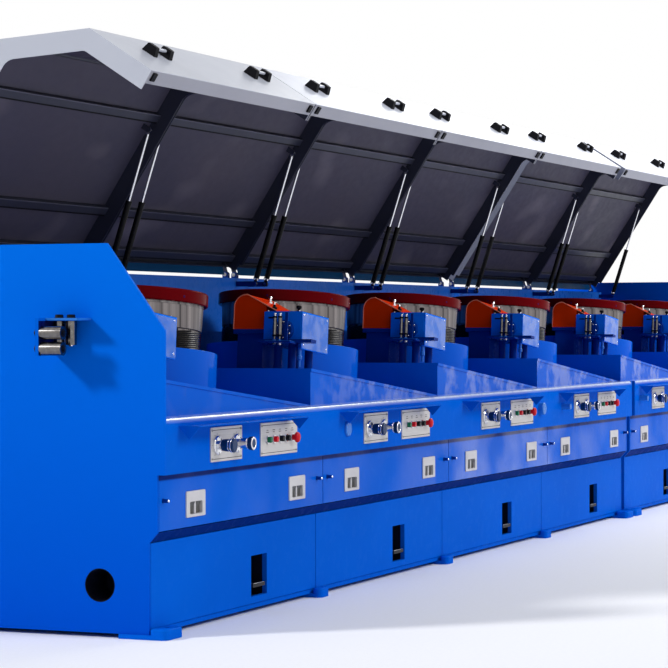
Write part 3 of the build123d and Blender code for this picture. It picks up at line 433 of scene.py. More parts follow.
def enamel(name, color, shade, roughness=0.25, shine=0.002, wave=0.10, glaze=(), glaze_roughness=0.12, tint=()):
    """Sprayed paint: broad tone, wavy sheet, fine dust, a clear glaze where it mirrors the room, and painted light
    from tint.
    """
    shader = start_material(name)
    place = coordinates(shader)
    base = mixed(clouds(place, 1.7, 3.0), color, shade)
    # Painted light: the tint colour, a highlight on the band and shade on the covers and the bed, mixed in over
    # its mask
    if tint:
        painted_light_color, *parts = tint
        base = mixed(mask(place, *parts), base, painted_light_color)
    sheet = bumped(noise(place, 4.5, 1.0), wave, 0.006)
    dust = clouds(place, 23.0, 4.0, 0.35, 0.75, roughness * 0.8, roughness * 1.35, 0.6)
    cover(shader, base, dust, sheet, shine)
    if glaze:
        feed(shader, {"Coat Weight": mask(place, *glaze), "Coat Normal": sheet, "Coat Roughness": glaze_roughness})


def satin(name, color, shade, roughness=0.45, grain=900.0, strength=0.15, shine=0.12):
    """Moulded plastic, rubber or satin paint with a fine grain."""
    shader = start_material(name)
    place = coordinates(shader)
    base = mixed(clouds(place, 9.0, 3.0), color, shade)
    sheen = clouds(place, 60.0, 3.0, to_low=roughness * 0.85, to_high=roughness * 1.2)
    cover(shader, base, sheen, bumped(noise(place, grain, 2.0), strength, 0.0003), shine)


def bare_metal(name, color, shade, roughness=0.2, scratch=(20, 20, 900)):
    """Machined or plated metal with fine marks along one direction."""
    shader = start_material(name)
    marks = noise(coordinates(shader, scratch), 1.0, 3.0, 0.6)
    base = mixed(spread(marks, 0.3, 0.7), color, shade)
    smear = clouds(coordinates(shader), 14.0, 3.0, to_low=roughness * 0.7, to_high=roughness * 1.4)
    cover(shader, base, smear, bumped(marks, 0.05, 0.0003), metallic=1.0)


def turned_steel(name):
    """Drum face: fine rings from turning, and broad bright and dark streaks down the face, painted into the colour
    as reflections.
    """
    shader = start_material(name)
    middle = coordinates(shader, kind="Generated", location=(-0.5, -0.5, 0.0))
    angle = math_node("ARCTAN2", along_axis(middle, "Y"), along_axis(middle, "X"))
    reflection_streaks = noise(made(shader, "CombineXYZ", {"X": angle}, "Vector"), 9.0, 5.0, 0.65)
    # Painted reflections: the streaks swing the colour between a bright and a dark steel around the drum
    base = mixed(spread(reflection_streaks, 0.35, 0.65), (0.30, 0.27, 0.27), (0.050, 0.045, 0.048))
    rings = bumped(noise(coordinates(shader, (2, 2, 700)), 1.0, 2.0), 0.12, 0.0003)
    cover(shader, base, spread(reflection_streaks, 0.3, 0.7, 0.22, 0.42), rings, metallic=1.0)
    feed(shader, {"Anisotropic": 0.6})


def brushed_plate(name):
    """Control plate: pale anodised aluminium brushed along the line."""
    shader = start_material(name)
    strokes = noise(coordinates(shader, (6, 200, 1400)), 1.0, 3.0, 0.6)
    base = mixed(spread(strokes, 0.3, 0.7), (0.60, 0.58, 0.56), (0.47, 0.45, 0.44))
    cover(shader, base, spread(strokes, 0.3, 0.7, 0.32, 0.48), bumped(strokes, 0.06, 0.0002), metallic=0.35)


def slate_lining(name):
    """Lining sheet with faint, broad painted reflections on it, lighter patches mixed into its colour."""
    shader = start_material(name)
    place = coordinates(shader, (1.0, 1.6, 1.6))
    base = mixed(clouds(place, 0.9, 2.0, 0.35, 0.65), (0.074, 0.069, 0.102), (0.092, 0.083, 0.114))
    painted_reflection = clouds(place, 2.2, 1.0, 0.60, 0.74, roughness=0.4)
    sheen = clouds(place, 18.0, 3.0, to_low=0.36, to_high=0.50)
    cover(shader, mixed(painted_reflection, base, (0.15, 0.135, 0.17)), sheen, shine=0.05)


def end_plate_blue(name):
    """Blue of the entry end plate with painted shade: darker toward the floor, lighter toward the top where more
    light falls.
    """
    shader = start_material(name)
    place = coordinates(shader)
    base = mixed(mask(place, ("Z", 0.0, 1.4)), (0.0005, 0.072, 0.55), (0.0009, 0.150, 0.74))
    base = mixed(clouds(place, 1.7, 3.0, to_high=0.12), base, blue_shade)
    cover(shader, base, clouds(place, 23.0, 4.0, 0.35, 0.75, 0.20, 0.34, 0.6), shine=0.002)


def hood_paint(bay):
    """White outside faces of a hood, the first hood's white painted darker as shade, slate inside it, and grey on
    an end that meets the next section's hood.
    """
    shader = start_material(f"hood_paint_{bay}")
    near_skin = 0.002
    near_end = 0.0008
    closed = coordinates(shader, rotation=(hood_open_angle, 0, 0))
    hinge_closed = Matrix.Rotation(hood_open_angle, 4, "X") @ Vector((0, hinge_y, hinge_z))
    y = math_node("ADD", along_axis(closed, "Y"), hinge_y - hinge_closed.y)
    z = math_node("ADD", along_axis(closed, "Z"), hinge_z - hinge_closed.z)
    slope_y, slope_z = hood_top_z - knee_z, -top_front_y
    length = math.hypot(slope_y, slope_z)
    part_y = math_node("MULTIPLY", y, slope_y / length)
    part_z = math_node("MULTIPLY", math_node("SUBTRACT", z, knee_z), slope_z / length)
    depth = math_node("MINIMUM", y, math_node("SUBTRACT", hood_top_z, z))
    depth = math_node("MINIMUM", depth, math_node("ADD", part_y, part_z))
    outside = math_node("LESS_THAN", depth, near_skin)
    lip = math_node("LESS_THAN", z, lip_bottom_z + near_skin)
    along = along_axis(coordinates(shader, kind="Generated"), "X")
    low_end = math_node("LESS_THAN", along, near_end)
    if bay == 1:
        outside = math_node("MAXIMUM", outside, low_end)
    if bay in (last_bay_of_first_section, len(bays)):
        outside = math_node("MAXIMUM", outside, math_node("GREATER_THAN", along, 1.0 - near_end))
    place = coordinates(shader)
    tone = clouds(place, 1.7, 3.0)
    whiteness = first_hood_shaded_whiteness if bay == 1 else hood_whiteness
    white = mixed(tone, *(tuple(whiteness * part for part in tint) for tint in hood_tints))
    slate = mixed(tone, (0.040, 0.043, 0.066), (0.034, 0.036, 0.056))
    inner = mixed(lip, slate, mixed(tone, (0.36, 0.36, 0.40), (0.31, 0.31, 0.35)))
    if bay == last_bay_of_first_section + 1:
        inner = mixed(low_end, inner, (0.16, 0.17, 0.22))
    dust = clouds(place, 8.0, 3.0, 0.35, 0.75, 0.30, 0.38, 0.6)
    cover(shader, mixed(outside, inner, white), dust, shine=0.12)


# Paints and metals

blue = (0.0008, 0.115, 0.64)
blue_shade = (0.0006, 0.103, 0.59)
painted_shade_blue = (0.0004, 0.012, 0.13)
ledge_highlight_blue = (0.50, 0.58, 0.74)
hood_tints = ((1.0, 1.03, 1.13), (0.92, 0.95, 1.06))
# The first hood's white is painted darker as shade, for the weaker light at the entry end
first_hood_shaded_whiteness = 0.53
hood_whiteness = 0.64

# Where the paint is glazed: light on the covers of the middle bays, a line along the band's rounded top edge,
# broken reflections on the decks from the second bay on, even gloss on the pedestals, mottled light on the doors
cover_glaze = ((2.6, 2.0, 0.38, 0.62, 0.14, 0.85), ("X", 2.4, 3.4, 0.25, 1.0), ("X", 4.4, 5.4, 1.0, 0.45))
band_glaze = (("Z", 0.759, 0.766),)
deck_glaze = ((7.0, 3.0, 0.46, 0.58, 0.05, 0.85, 0.6), ("X", 1.4, 2.2, 0.15, 1.0))
pedestal_glaze = ((3.0, 1.0, 0.3, 0.7, 0.08, 0.20),)
door_glaze = ((16.0, 2.0, 0.38, 0.62, 0.25, 0.95),)

# Painted light mixed into the colour: a painted highlight in patches on top of the band, painted shade on top of
# the covers under the band and on the bed's front, in the gap between the covers and the lower panels
ledge_painted_highlight = (ledge_highlight_blue, (9.0, 3.0, 0.36, 0.60, 0.45, 0.95, 0.6), ("Z", 0.768, 0.774))
cover_painted_shade = (painted_shade_blue, ("Z", 0.556, 0.562, 0.0, 0.92))
bed_painted_shade = (
    painted_shade_blue, ("Z", 0.338, 0.342, 0.0, 0.90), ("Z", 0.384, 0.390, 1.0, 0.0), ("Y", 0.100, 0.110, 1.0, 0.0),
)

enamel("blue_paint", blue, blue_shade)
enamel("bed_paint", blue, blue_shade, tint=bed_painted_shade)
enamel("cover_paint", blue, blue_shade, glaze=cover_glaze, glaze_roughness=0.22, tint=cover_painted_shade)
enamel("band_paint", blue, blue_shade, glaze=band_glaze, glaze_roughness=0.15, tint=ledge_painted_highlight)
enamel("deck_paint", blue, blue_shade, 0.2, 0.01, 0.45, deck_glaze, 0.06)
# Die boxes: the machine blue painted lighter, as painted light on their shaded faces
enamel("die_box_paint", (0.003, 0.19, 0.92), (0.002, 0.17, 0.84), 0.25, 0.01)
enamel("pedestal_paint", blue, blue_shade, 0.25, glaze=pedestal_glaze)
# Rear cabinets: the machine blue painted paler, as a painted reflection on their shaded front
enamel("cabinet_paint", (0.018, 0.155, 0.66), (0.014, 0.14, 0.61), 0.3, 0.02)
enamel("door_paint", (0.01, 0.16, 0.66), (0.006, 0.12, 0.58), 0.2, 0.05, 0.3, door_glaze, 0.1)
enamel("dark_blue_paint", (0.001, 0.035, 0.27), (0.001, 0.028, 0.20), 0.25, 0.02)
enamel("shadow_blue", (0.0005, 0.006, 0.10), (0.0004, 0.004, 0.07), 0.3, 0.05)
enamel("light_knob", (0.02, 0.18, 0.62), (0.015, 0.15, 0.55), 0.25, 0.2)
enamel("red_paint", (0.15, 0.0006, 0.003), (0.11, 0.0005, 0.002), 0.14, 0.02)
enamel("orange_paint", (0.92, 0.042, 0.0012), (0.84, 0.036, 0.001), 0.3, 0.01)
# Paler orange painted on the guards' rolled edges as a highlight
enamel("guard_edge_highlight", (0.90, 0.26, 0.15), (0.82, 0.20, 0.10), 0.25, 0.1)
# Painted highlight for the front edges of the hood ribs
enamel("rib_highlight_paint", (0.16, 0.16, 0.20), (0.12, 0.12, 0.16), 0.35, 0.1)
enamel("skirt_paint", (0.002, 0.070, 0.190), (0.001, 0.050, 0.140), 0.35, 0.02)
end_plate_blue("end_paint")
slate_lining("liner_sheet")
turned_steel("drum_steel")
brushed_plate("plate_alloy")
bare_metal("chrome", (0.78, 0.78, 0.80), (0.66, 0.66, 0.69), 0.12)
bare_metal("bolt_steel", (0.42, 0.41, 0.40), (0.24, 0.23, 0.22), 0.34)
bare_metal("roller_steel", (0.22, 0.21, 0.20), (0.13, 0.12, 0.12), 0.16, (60, 60, 60))
bare_metal("dark_wire", (0.020, 0.018, 0.019), (0.007, 0.007, 0.007), 0.16)
satin("latch_paddle", (0.10, 0.10, 0.095), (0.07, 0.07, 0.065), 0.3)
satin("grey_latch", (0.62, 0.60, 0.60), (0.54, 0.52, 0.52), 0.34)
satin("latch_shadow", (0.13, 0.12, 0.11), (0.09, 0.085, 0.08), 0.5)
satin("strut_black", (0.004, 0.004, 0.005), (0.003, 0.003, 0.004), 0.3)
satin("pedal_black", (0.018, 0.018, 0.02), (0.03, 0.03, 0.032), 0.5, 500.0, 0.4)
satin("rubber", (0.004, 0.004, 0.006), (0.006, 0.006, 0.008), 0.5, shine=0.06)
satin("knob_blue", (0.004, 0.03, 0.11), (0.003, 0.02, 0.08), 0.22)
satin("button_green", (0.01, 0.15, 0.07), (0.008, 0.12, 0.05), 0.25)
satin("button_red", (0.62, 0.008, 0.02), (0.52, 0.006, 0.015), 0.25)
satin("button_black", (0.009, 0.009, 0.010), (0.006, 0.006, 0.007), 0.25)
satin("print_dark", (0.03, 0.028, 0.028), (0.045, 0.04, 0.04), 0.6)
# Near-black for painted shade in the pedal recesses and the cable hole
satin("recess_shade_dark", (0.004, 0.006, 0.02), (0.003, 0.004, 0.012), 0.6)

painted_nodes = {
    "end_paint": ["entry_end_plate"],
    "blue_paint": [
        "exit_end_plate", "middle_end_plates", "lower_panels", "band_canopies", "machine_feet", "entry_wire_guide",
    ],
    "bed_paint": ["machine_beds"], "band_paint": ["control_bands"], "cover_paint": ["cover_panels"],
    "grey_latch": ["cover_latches"], "deck_paint": ["sloping_decks"], "cabinet_paint": ["rear_cabinets"],
    "pedestal_paint": ["drum_pedestals"], "die_box_paint": ["die_boxes"],
    "dark_blue_paint": ["die_holders", "die_box_stands", "hood_brackets"], "roller_steel": ["guide_rollers"],
    "orange_paint": ["wire_guards"], "plate_alloy": ["control_plates"],
    "chrome": ["regulators", "push_buttons", "strut_rods"], "light_knob": ["band_caps"], "drum_steel": ["drum"],
    "red_paint": ["drum_ring"], "strut_black": ["strut_barrels"], "pedal_black": ["pedal"],
}
node_paints = {node: paint for paint, nodes in painted_nodes.items() for node in nodes}
for bay in bays:
    hood_paint(bay)
    node_paints[f"hood_{bay}"] = f"hood_paint_{bay}"
for name, node in frame["nodes"].items():
    paint = node_paints.get(name) or node_paints[name.rstrip("_0123456789")]
    node.data.materials.clear()
    node.data.materials.append(paints[paint])


# Hood linings, handle blocks, lip stops, painted highlight and shadow strips on the rib edges, and skirt

lining_lift = 0.0006
lining_sheet = 0.0022


def build_hood_lining(bay, start):
    """Dark lining sheets between the ribs and frames, each standing just off the skin."""
    low, high = hood_span(start)
    low += frame_thickness + 0.002
    high -= frame_thickness + 0.002
    off_skin = skin + lining_lift
    bm = bmesh.new()
    z_high = hood_top_z - off_skin
    z_low = z_high - lining_sheet
    bounds_y = [top_front_y + 0.012]
    for rib in rib_positions:
        bounds_y += [rib - rib_width / 2 - 0.002, rib + rib_width / 2 + 0.002]
    bounds_y.append(hood_rear_y - 0.004)
    narrowest_sheet = 0.03
    for near, far in zip(bounds_y[0::2], bounds_y[1::2]):
        if far - near > narrowest_sheet:
            block(bm, hood_frame(), (low, near, z_low), (high, far, z_high))
    slope = Vector((-top_front_y, knee_z - hood_top_z))
    along = slope.normalized()
    inward = Vector((-along.y, along.x))
    top_corner = Vector((top_front_y, hood_top_z)) + inward * off_skin
    one = top_corner + along * 0.016
    two = top_corner + along * (slope.length - 0.010)
    back = inward * lining_sheet
    prism(bm, hood_frame(), (one, two, two + back, one + back), low, high)
    foot_z = lip_bottom_z + skin + 0.004
    head_z = knee_z - 0.012
    block(bm, hood_frame(), (low, off_skin, foot_z), (high, off_skin + lining_sheet, head_z))
    finished(bm, f"hood_lining_{bay}", "liner_sheet", f"hood_body_{bay}")


def build_hood_handles(bay, start):
    """Black end caps over the two ends of each handle."""
    bm = bmesh.new()
    reach = handle_block / 2 + 0.0025
    foot = handle_block / 2 + handle_slope + 0.008
    head = handle_block / 2 + 0.006
    front = -handle_stand - 0.0008
    outline = [
        (-0.0002, handle_z - foot), (front, handle_z - head), (front, handle_z + head), (-0.0002, handle_z + foot),
    ]
    for place in handle_places:
        for end in (-1, 1):
            middle = start + place + end * handle_length / 2
            prism(bm, hood_frame(), outline, middle - reach, middle + reach)
    finished(bm, f"handle_blocks_{bay}", "rubber", f"hood_body_{bay}", bevel=0.0025)


def build_lip_stops(bay, start):
    """Rubber stops on the lip of the hood, near its ends."""
    low, high = hood_span(start)
    from_end = 0.037
    half = 0.015
    bm = bmesh.new()
    for middle in (low + from_end, high - from_end):
        low_corner = (middle - half, 0.008, lip_bottom_z - 0.007)
        block(bm, hood_frame(), low_corner, (middle + half, 0.040, lip_bottom_z + 0.0005))
    finished(bm, f"lip_stops_{bay}", "rubber", f"hood_body_{bay}", bevel=0.001)


def build_rib_edges(bay, start):
    """Painted highlight and painted shadow on the ribs: a pale strip on each rib's front edge and a black strip on
    its rear edge.
    """
    low, high = hood_span(start)
    inset = frame_thickness + 0.004
    light = bmesh.new()
    dark = bmesh.new()
    rib_face = hood_top_z - skin - rib_depth
    top, foot = rib_face + 0.0002, rib_face - 0.0008
    for rib in rib_positions:
        for bm, side, width in ((light, -1, 0.0014), (dark, 1, 0.0030)):
            edge = rib + side * (rib_width / 2 - 0.0005 - width)
            block(bm, hood_frame(), (low + inset, edge - width, foot), (high - inset, edge + width, top))
    finished(light, f"rib_edges_{bay}", "rib_highlight_paint", f"hood_body_{bay}")
    # The rear strips are painted shadow in the black rubber paint
    finished(dark, f"rib_shadow_edges_{bay}", "rubber", f"hood_body_{bay}")


def build_hood_skirt(bay, start):
    """Blue skirt along the rear lip of the hood, between its two hinge arms."""
    low, high = hood_span(start)
    bm = bmesh.new()
    top = Vector((hood_rear_y - 0.001, skirt_top_z))
    foot = Vector((hinge_y - 0.002, hinge_z - 0.006))
    along = (foot - top).normalized()
    across = Vector((along.y, -along.x)) * 0.001
    outline = (top + across, foot + across, foot - across, top - across)
    prism(bm, hood_frame(), outline, low + skirt_inset, high - skirt_inset)
    finished(bm, f"hood_skirt_{bay}", "skirt_paint", f"hood_body_{bay}")


in_each_bay(build_hood_lining, build_hood_handles, build_lip_stops, build_rib_edges, build_hood_skirt)


# Drums: wire wound in the groove, a wear sleeve, and screws in the red ring

winding_low = 0.174
winding_high = 0.258
winding_wire = 0.0043
strand_count = 21
strand_turns = 0.45
strand_steps = 26
drum_foot_radius = 0.272
sleeve_low_radius = 0.2785
sleeve_high_radius = 0.2820
sleeve_top = 0.3555
ring_radius = 0.300
ring_low = 0.360
ring_screw_count = 6


def build_winding(bay, centre):
    """One layer of drawn wire, its strands side by side as they climb around the foot of the drum."""
    bm = bmesh.new()
    rise = winding_high - winding_low - 2 * winding_wire
    for strand in range(strand_count):
        points = []
        for step in range(strand_steps + 1):
            share = step / strand_steps
            angle = 2 * math.pi * (strand / strand_count + strand_turns * share)
            height = winding_low + winding_wire + rise * share
            points.append(drum_frame(centre) @ around(drum_foot_radius + winding_wire * 0.6, angle, height))
        tube(bm, points, winding_wire, 6)
    finished(bm, f"winding_{bay}", "dark_wire", f"drum_body_{bay}", 80.0)


def build_drum_sleeve(bay, centre):
    """Wear sleeve of polished steel above the winding, a little wider than the foot."""
    bm = bmesh.new()
    inner = drum_foot_radius - 0.002
    low = winding_high + 0.002
    profile = [
        (inner, low), (sleeve_low_radius - 0.002, low), (sleeve_low_radius, low + 0.002),
        (sleeve_high_radius, sleeve_top - 0.006), (sleeve_high_radius - 0.001, sleeve_top), (inner, sleeve_top),
    ]
    lathe(bm, drum_frame(centre), profile, 96)
    finished(bm, f"drum_sleeve_{bay}", "drum_steel", f"drum_body_{bay}")


def build_ring_screws(bay, centre):
    """Dark grub screws set in the edge of the red ring."""
    bm = bmesh.new()
    axis = drum_frame(centre)
    for index in range(ring_screw_count):
        angle = 2 * math.pi * (index + 0.15) / ring_screw_count
        seat = axis @ around(ring_radius - 0.0016, angle, ring_low + 0.022)
        socket_screw(bm, placed(seat, axis.to_3x3() @ around(1, angle)), 0.0050, 0.0019)
    finished(bm, f"ring_screws_{bay}", "shadow_blue", f"drum_body_{bay}")


in_each_bay(build_winding, build_drum_sleeve, build_ring_screws, places=drum_points)


# Control plates: printed lines, corner screws, regulator grips and button caps

plate_places = ((0.367, 0.272), (0.809, 0.349))
control_z = 0.668
regulator_places = (0.422, 0.588)
button_start = 0.872
button_spacing = 0.059
ink = 0.0003
ring_height = 0.0708


def build_plate_print(bay, start):
    """Printed rules and small marks, raised by the thickness of the ink."""
    bm = bmesh.new()
    half_height = (plate_high_z - plate_low_z) / 2
    for place, width in plate_places:
        face = front_at(start + place + width / 2, plate_front, plate_low_z + half_height)
        reach = width / 2 - 0.016
        for side in (-1, 1):
            y = side * (half_height - 0.010)
            block(bm, face, (-reach, y - 0.0011, 0.0), (reach, y + 0.0011, ink))
    for place in regulator_places:
        face = front_at(start + place, plate_front, control_z)
        for degrees in range(-60, 270, 30):
            block(bm, turned(face, degrees), (0.0385, -0.0008, 0.0), (0.0435, 0.0008, ink))
    for index in range(5):
        x = start + button_start + index * button_spacing
        for row, above in enumerate((0.036, 0.028)):
            reach = (0.008, 0.012)[(index + row) % 2]
            face = front_at(x, plate_front, control_z + above)
            block(bm, face, (-reach, -0.0012, 0.0), (reach, 0.0012, ink))
    finished(bm, f"plate_print_{bay}", "print_dark")


def build_plate_screws(bay, start):
    bm = bmesh.new()
    from_edge = 0.011
    for place, width in plate_places:
        for x in (start + place + from_edge, start + place + width - from_edge):
            for z in (plate_low_z + from_edge, plate_high_z - from_edge):
                socket_screw(bm, front_at(x, plate_front, z), 0.0042, 0.0028)
    finished(bm, f"plate_screws_{bay}", "bolt_steel")


def build_regulator_grips(bay, start):
    """Knurled grips over the turned regulators."""
    blue_part, dark, bright, centre = (bmesh.new() for _ in range(4))
    left, right = (front_at(start + place, plate_front, control_z) for place in regulator_places)
    knurled(blue_part, left, 0.0215, 0.0235, 0.0222, 0.0485, 22)
    collar(bright, moved(left, z=0.0485), 0.0225, 0.0160, 0.0030)
    knurled(blue_part, left, 0.0245, 0.0265, 0.0540, ring_height, 26)
    collar(bright, moved(left, z=0.0600), 0.0268, 0.0240, 0.0040, 40)
    disc(blue_part, moved(left, z=ring_height), 0.0215, 0.0016, 32, 0.0008)
    collar(bright, moved(right, z=0.0222), 0.0206, 0.0158, 0.0262, 40)
    knurled(blue_part, right, 0.0245, 0.0262, 0.0540, ring_height, 26)
    collar(bright, moved(right, z=ring_height), 0.0240, 0.0165, 0.0016, 40)
    disc(centre, moved(right, z=ring_height), 0.0160, 0.0014, 32, 0.0006)
    for spot in (left, right):
        for degrees in range(0, 360, 45):
            disc(dark, moved(turned(spot, degrees), 0.0285, 0, 0.0078), 0.0022, 0.0007, 12)
    finished(blue_part, f"regulator_grips_{bay}", "knob_blue")
    finished(dark, f"regulator_caps_{bay}", "button_black")
    finished(bright, f"regulator_bands_{bay}", "chrome")
    finished(centre, f"regulator_centre_{bay}", "knob_blue")


def build_button_caps(bay, start):
    """Coloured caps over the push buttons and the mushroom head."""
    caps = {color: bmesh.new() for color in ("green", "red", "black")}
    cap_profile = [(0.0116, 0.0052), (0.0116, 0.0172), (0.0108, 0.0186), (0.0070, 0.0192), (0.0, 0.0194)]
    for index, color in enumerate(("green", "red", "black", "black")):
        face = front_at(start + button_start + index * button_spacing, plate_front, control_z)
        lathe(caps[color], face, cap_profile, 28)
    head_radius = 0.0208
    head_low = 0.0240
    profile = [(0.0115, 0.0052), (0.0115, 0.0180), (0.0204, 0.0186), (head_radius, head_low)]
    for step in range(1, 7):
        angle = math.pi / 2 * step / 6
        profile.append((head_radius * math.cos(angle), head_low + 0.0098 * math.sin(angle)))
    lathe(caps["red"], front_at(start + button_start + 4 * button_spacing, plate_front, control_z), profile, 36)
    for color, bm in caps.items():
        finished(bm, f"{color}_buttons_{bay}", f"button_{color}")


in_each_bay(build_plate_print, build_plate_screws, build_regulator_grips, build_button_caps)


# Latches and lock pins on the cover panels

latch_places = (0.306, bay_pitch - 0.270)
latch_z = 0.461
dish_width = 0.104
dish_height = 0.045
dish_drop = 0.014
dish_depth = 0.0126
paddle_length = 0.034
lock_places = (0.045, bay_pitch - 0.065)
lock_z = 0.487


def build_latch_scoops(bay, start):
    """Painted shade: a dark sheet on the floor of the finger bowl; and the bright curved paddle on each side of
    its divider.
    """
    floor = bmesh.new()
    paddle = bmesh.new()
    floor_outline = rounded_outline(dish_width - 0.0012, dish_height - 0.0012, 0.005)
    outline = []
    for step in range(9):
        share = step / 8
        y = dish_height / 2 - 0.0012 - share * (dish_height - 0.012)
        outline.append((y, -0.0012 - 0.0095 * math.sin(math.pi / 2 * share)))
    outline += [(y, z - 0.0012) for y, z in reversed(outline)]
    for place in latch_places:
        face = front_at(start + place, latch_front, latch_z - dish_drop)
        slab(floor, moved(face, z=-dish_depth), floor_outline, 0.0008)
        for side in (-1, 1):
            middle = side * (0.008 + paddle_length / 2)
            prism(paddle, moved(face, middle), outline, -paddle_length / 2, paddle_length / 2)
    finished(floor, f"latch_bowl_shades_{bay}", "latch_shadow")
    finished(paddle, f"latch_paddles_{bay}", "latch_paddle", smooth_angle=50.0)


def build_lock_pins(bay, start):
    bm = bmesh.new()
    tips = bmesh.new()
    for place in lock_places:
        face = front_at(start + place, panel_front, lock_z)
        lathe(bm, face, [(0.0085, 0.0), (0.0085, 0.004), (0.0068, 0.0048), (0.0068, 0.020)], 20)
        lathe(tips, face, [(0.0052, 0.020), (0.0052, 0.0240), (0.0040, 0.0250)], 20)
    finished(bm, f"lock_pins_{bay}", "dark_blue_paint")
    finished(tips, f"lock_tips_{bay}", "chrome")


in_each_bay(build_latch_scoops, build_lock_pins)


# Pedal slots with painted shade in their recesses, and pedals

slot_x = 0.866
slot_width = 0.148
slot_bottom = 0.062
slot_top = 0.220
recess_front = lower_front + 0.020
recess_depth = 0.160
recess_margin = 0.008
recess_gap = 0.0004
recess_sheet = 0.0015
treadle_top = 0.1099


def build_slot_lining(bay, start):
    """Painted shade: near-black sheets on the five walls of the recess behind the pedal slot."""
    bm = bmesh.new()
    reach = recess_margin - recess_gap
    x1, x2 = start + slot_x - reach, start + slot_x + slot_width + reach
    y1, y2 = recess_front + recess_gap, recess_front + recess_depth - recess_gap
    z1, z2 = slot_bottom - reach, slot_top + reach
    inner_x1, inner_x2 = x1 + recess_sheet, x2 - recess_sheet
    for low, high in (
        ((x1, y1, z1), (inner_x1, y2, z2)),
        ((inner_x2, y1, z1), (x2, y2, z2)),
        ((inner_x1, y1, z1), (inner_x2, y2, z1 + recess_sheet)),
        ((inner_x1, y1, z2 - recess_sheet), (inner_x2, y2, z2)),
        ((inner_x1, y2 - recess_sheet, z1 + recess_sheet), (inner_x2, y2, z2 - recess_sheet)),
    ):
        block(bm, world_frame, low, high)
    finished(bm, f"slot_painted_shade_{bay}", "recess_shade_dark")


def build_pedal_trim(bay, start):
    """Bright strip along the front edge of the treadle."""
    low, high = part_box(f"pedal_{bay}")
    bm = bmesh.new()
    half = (high.x - low.x) / 2 - 0.004
    toe = placed(((low.x + high.x) / 2, low.y, 0.0), (0, 0, 1), (0, 1, 0))
    block(bm, toe, (-half, 0.0012, treadle_top), (half, 0.0068, treadle_top + 0.0013))
    finished(bm, f"pedal_trim_{bay}", "chrome", f"pedal_body_{bay}", bevel=0.0004)


in_each_bay(build_slot_lining, build_pedal_trim)


# Struts: collars and end fittings

strut_low_y, strut_low_z = 0.988, 1.304
strut_low = Vector((0, strut_low_y, strut_low_z))
strut_hood_closed = Vector((0, 0.4677, 1.364))
strut_axis = (hood_frame() @ strut_hood_closed - strut_low).normalized()
strut_inset = 0.060
barrel_end = 0.339


def build_strut_fittings(bay, start):
    barrels = bmesh.new()
    ends = bmesh.new()
    for x in (start + strut_inset, start + bay_pitch - strut_inset):
        foot = Vector((x, strut_low_y, strut_low_z))
        collar(barrels, placed(foot + strut_axis * (barrel_end - 0.012), strut_axis), 0.0142, 0.0130, 0.0135)
        collar(ends, placed(foot + strut_axis * 0.020, strut_axis), 0.0140, 0.0130, 0.010)
        for side in (-1, 1):
            disc(ends, placed(foot + Vector((side * 0.005, 0, 0)), (side, 0, 0)), 0.0085, 0.0008, 20)
    finished(barrels, f"strut_collars_{bay}", "strut_black", f"barrel_body_{bay}")
    finished(ends, f"strut_ends_{bay}", "chrome", f"barrel_body_{bay}")


in_each_bay(build_strut_fittings)


# Die boxes: door skin, lid, knob, screws, collars on the nose, guide nuts and drain

die_box_u = 0.393
die_box_length = 0.291
die_box_end = die_box_u + die_box_length
die_box_front = 0.300
die_box_back = 0.480
die_box_top = 0.276
wire_h = 0.196
guide_u = 0.3125
guide_reach = 0.012
guide_base_u = (0.2825, 0.3425)
guide_base_v = (0.305, 0.425)
guide_base_top = 0.140
tray_front = 0.316
tray_u = (0.335, 0.684)
tray_h = (0.138, 0.152)
door_h = (0.116, 0.276)
nose_collar_count = 3
nose_collar_spacing = 0.006
holder_screw_circle = 0.034
small_screw = 0.0042


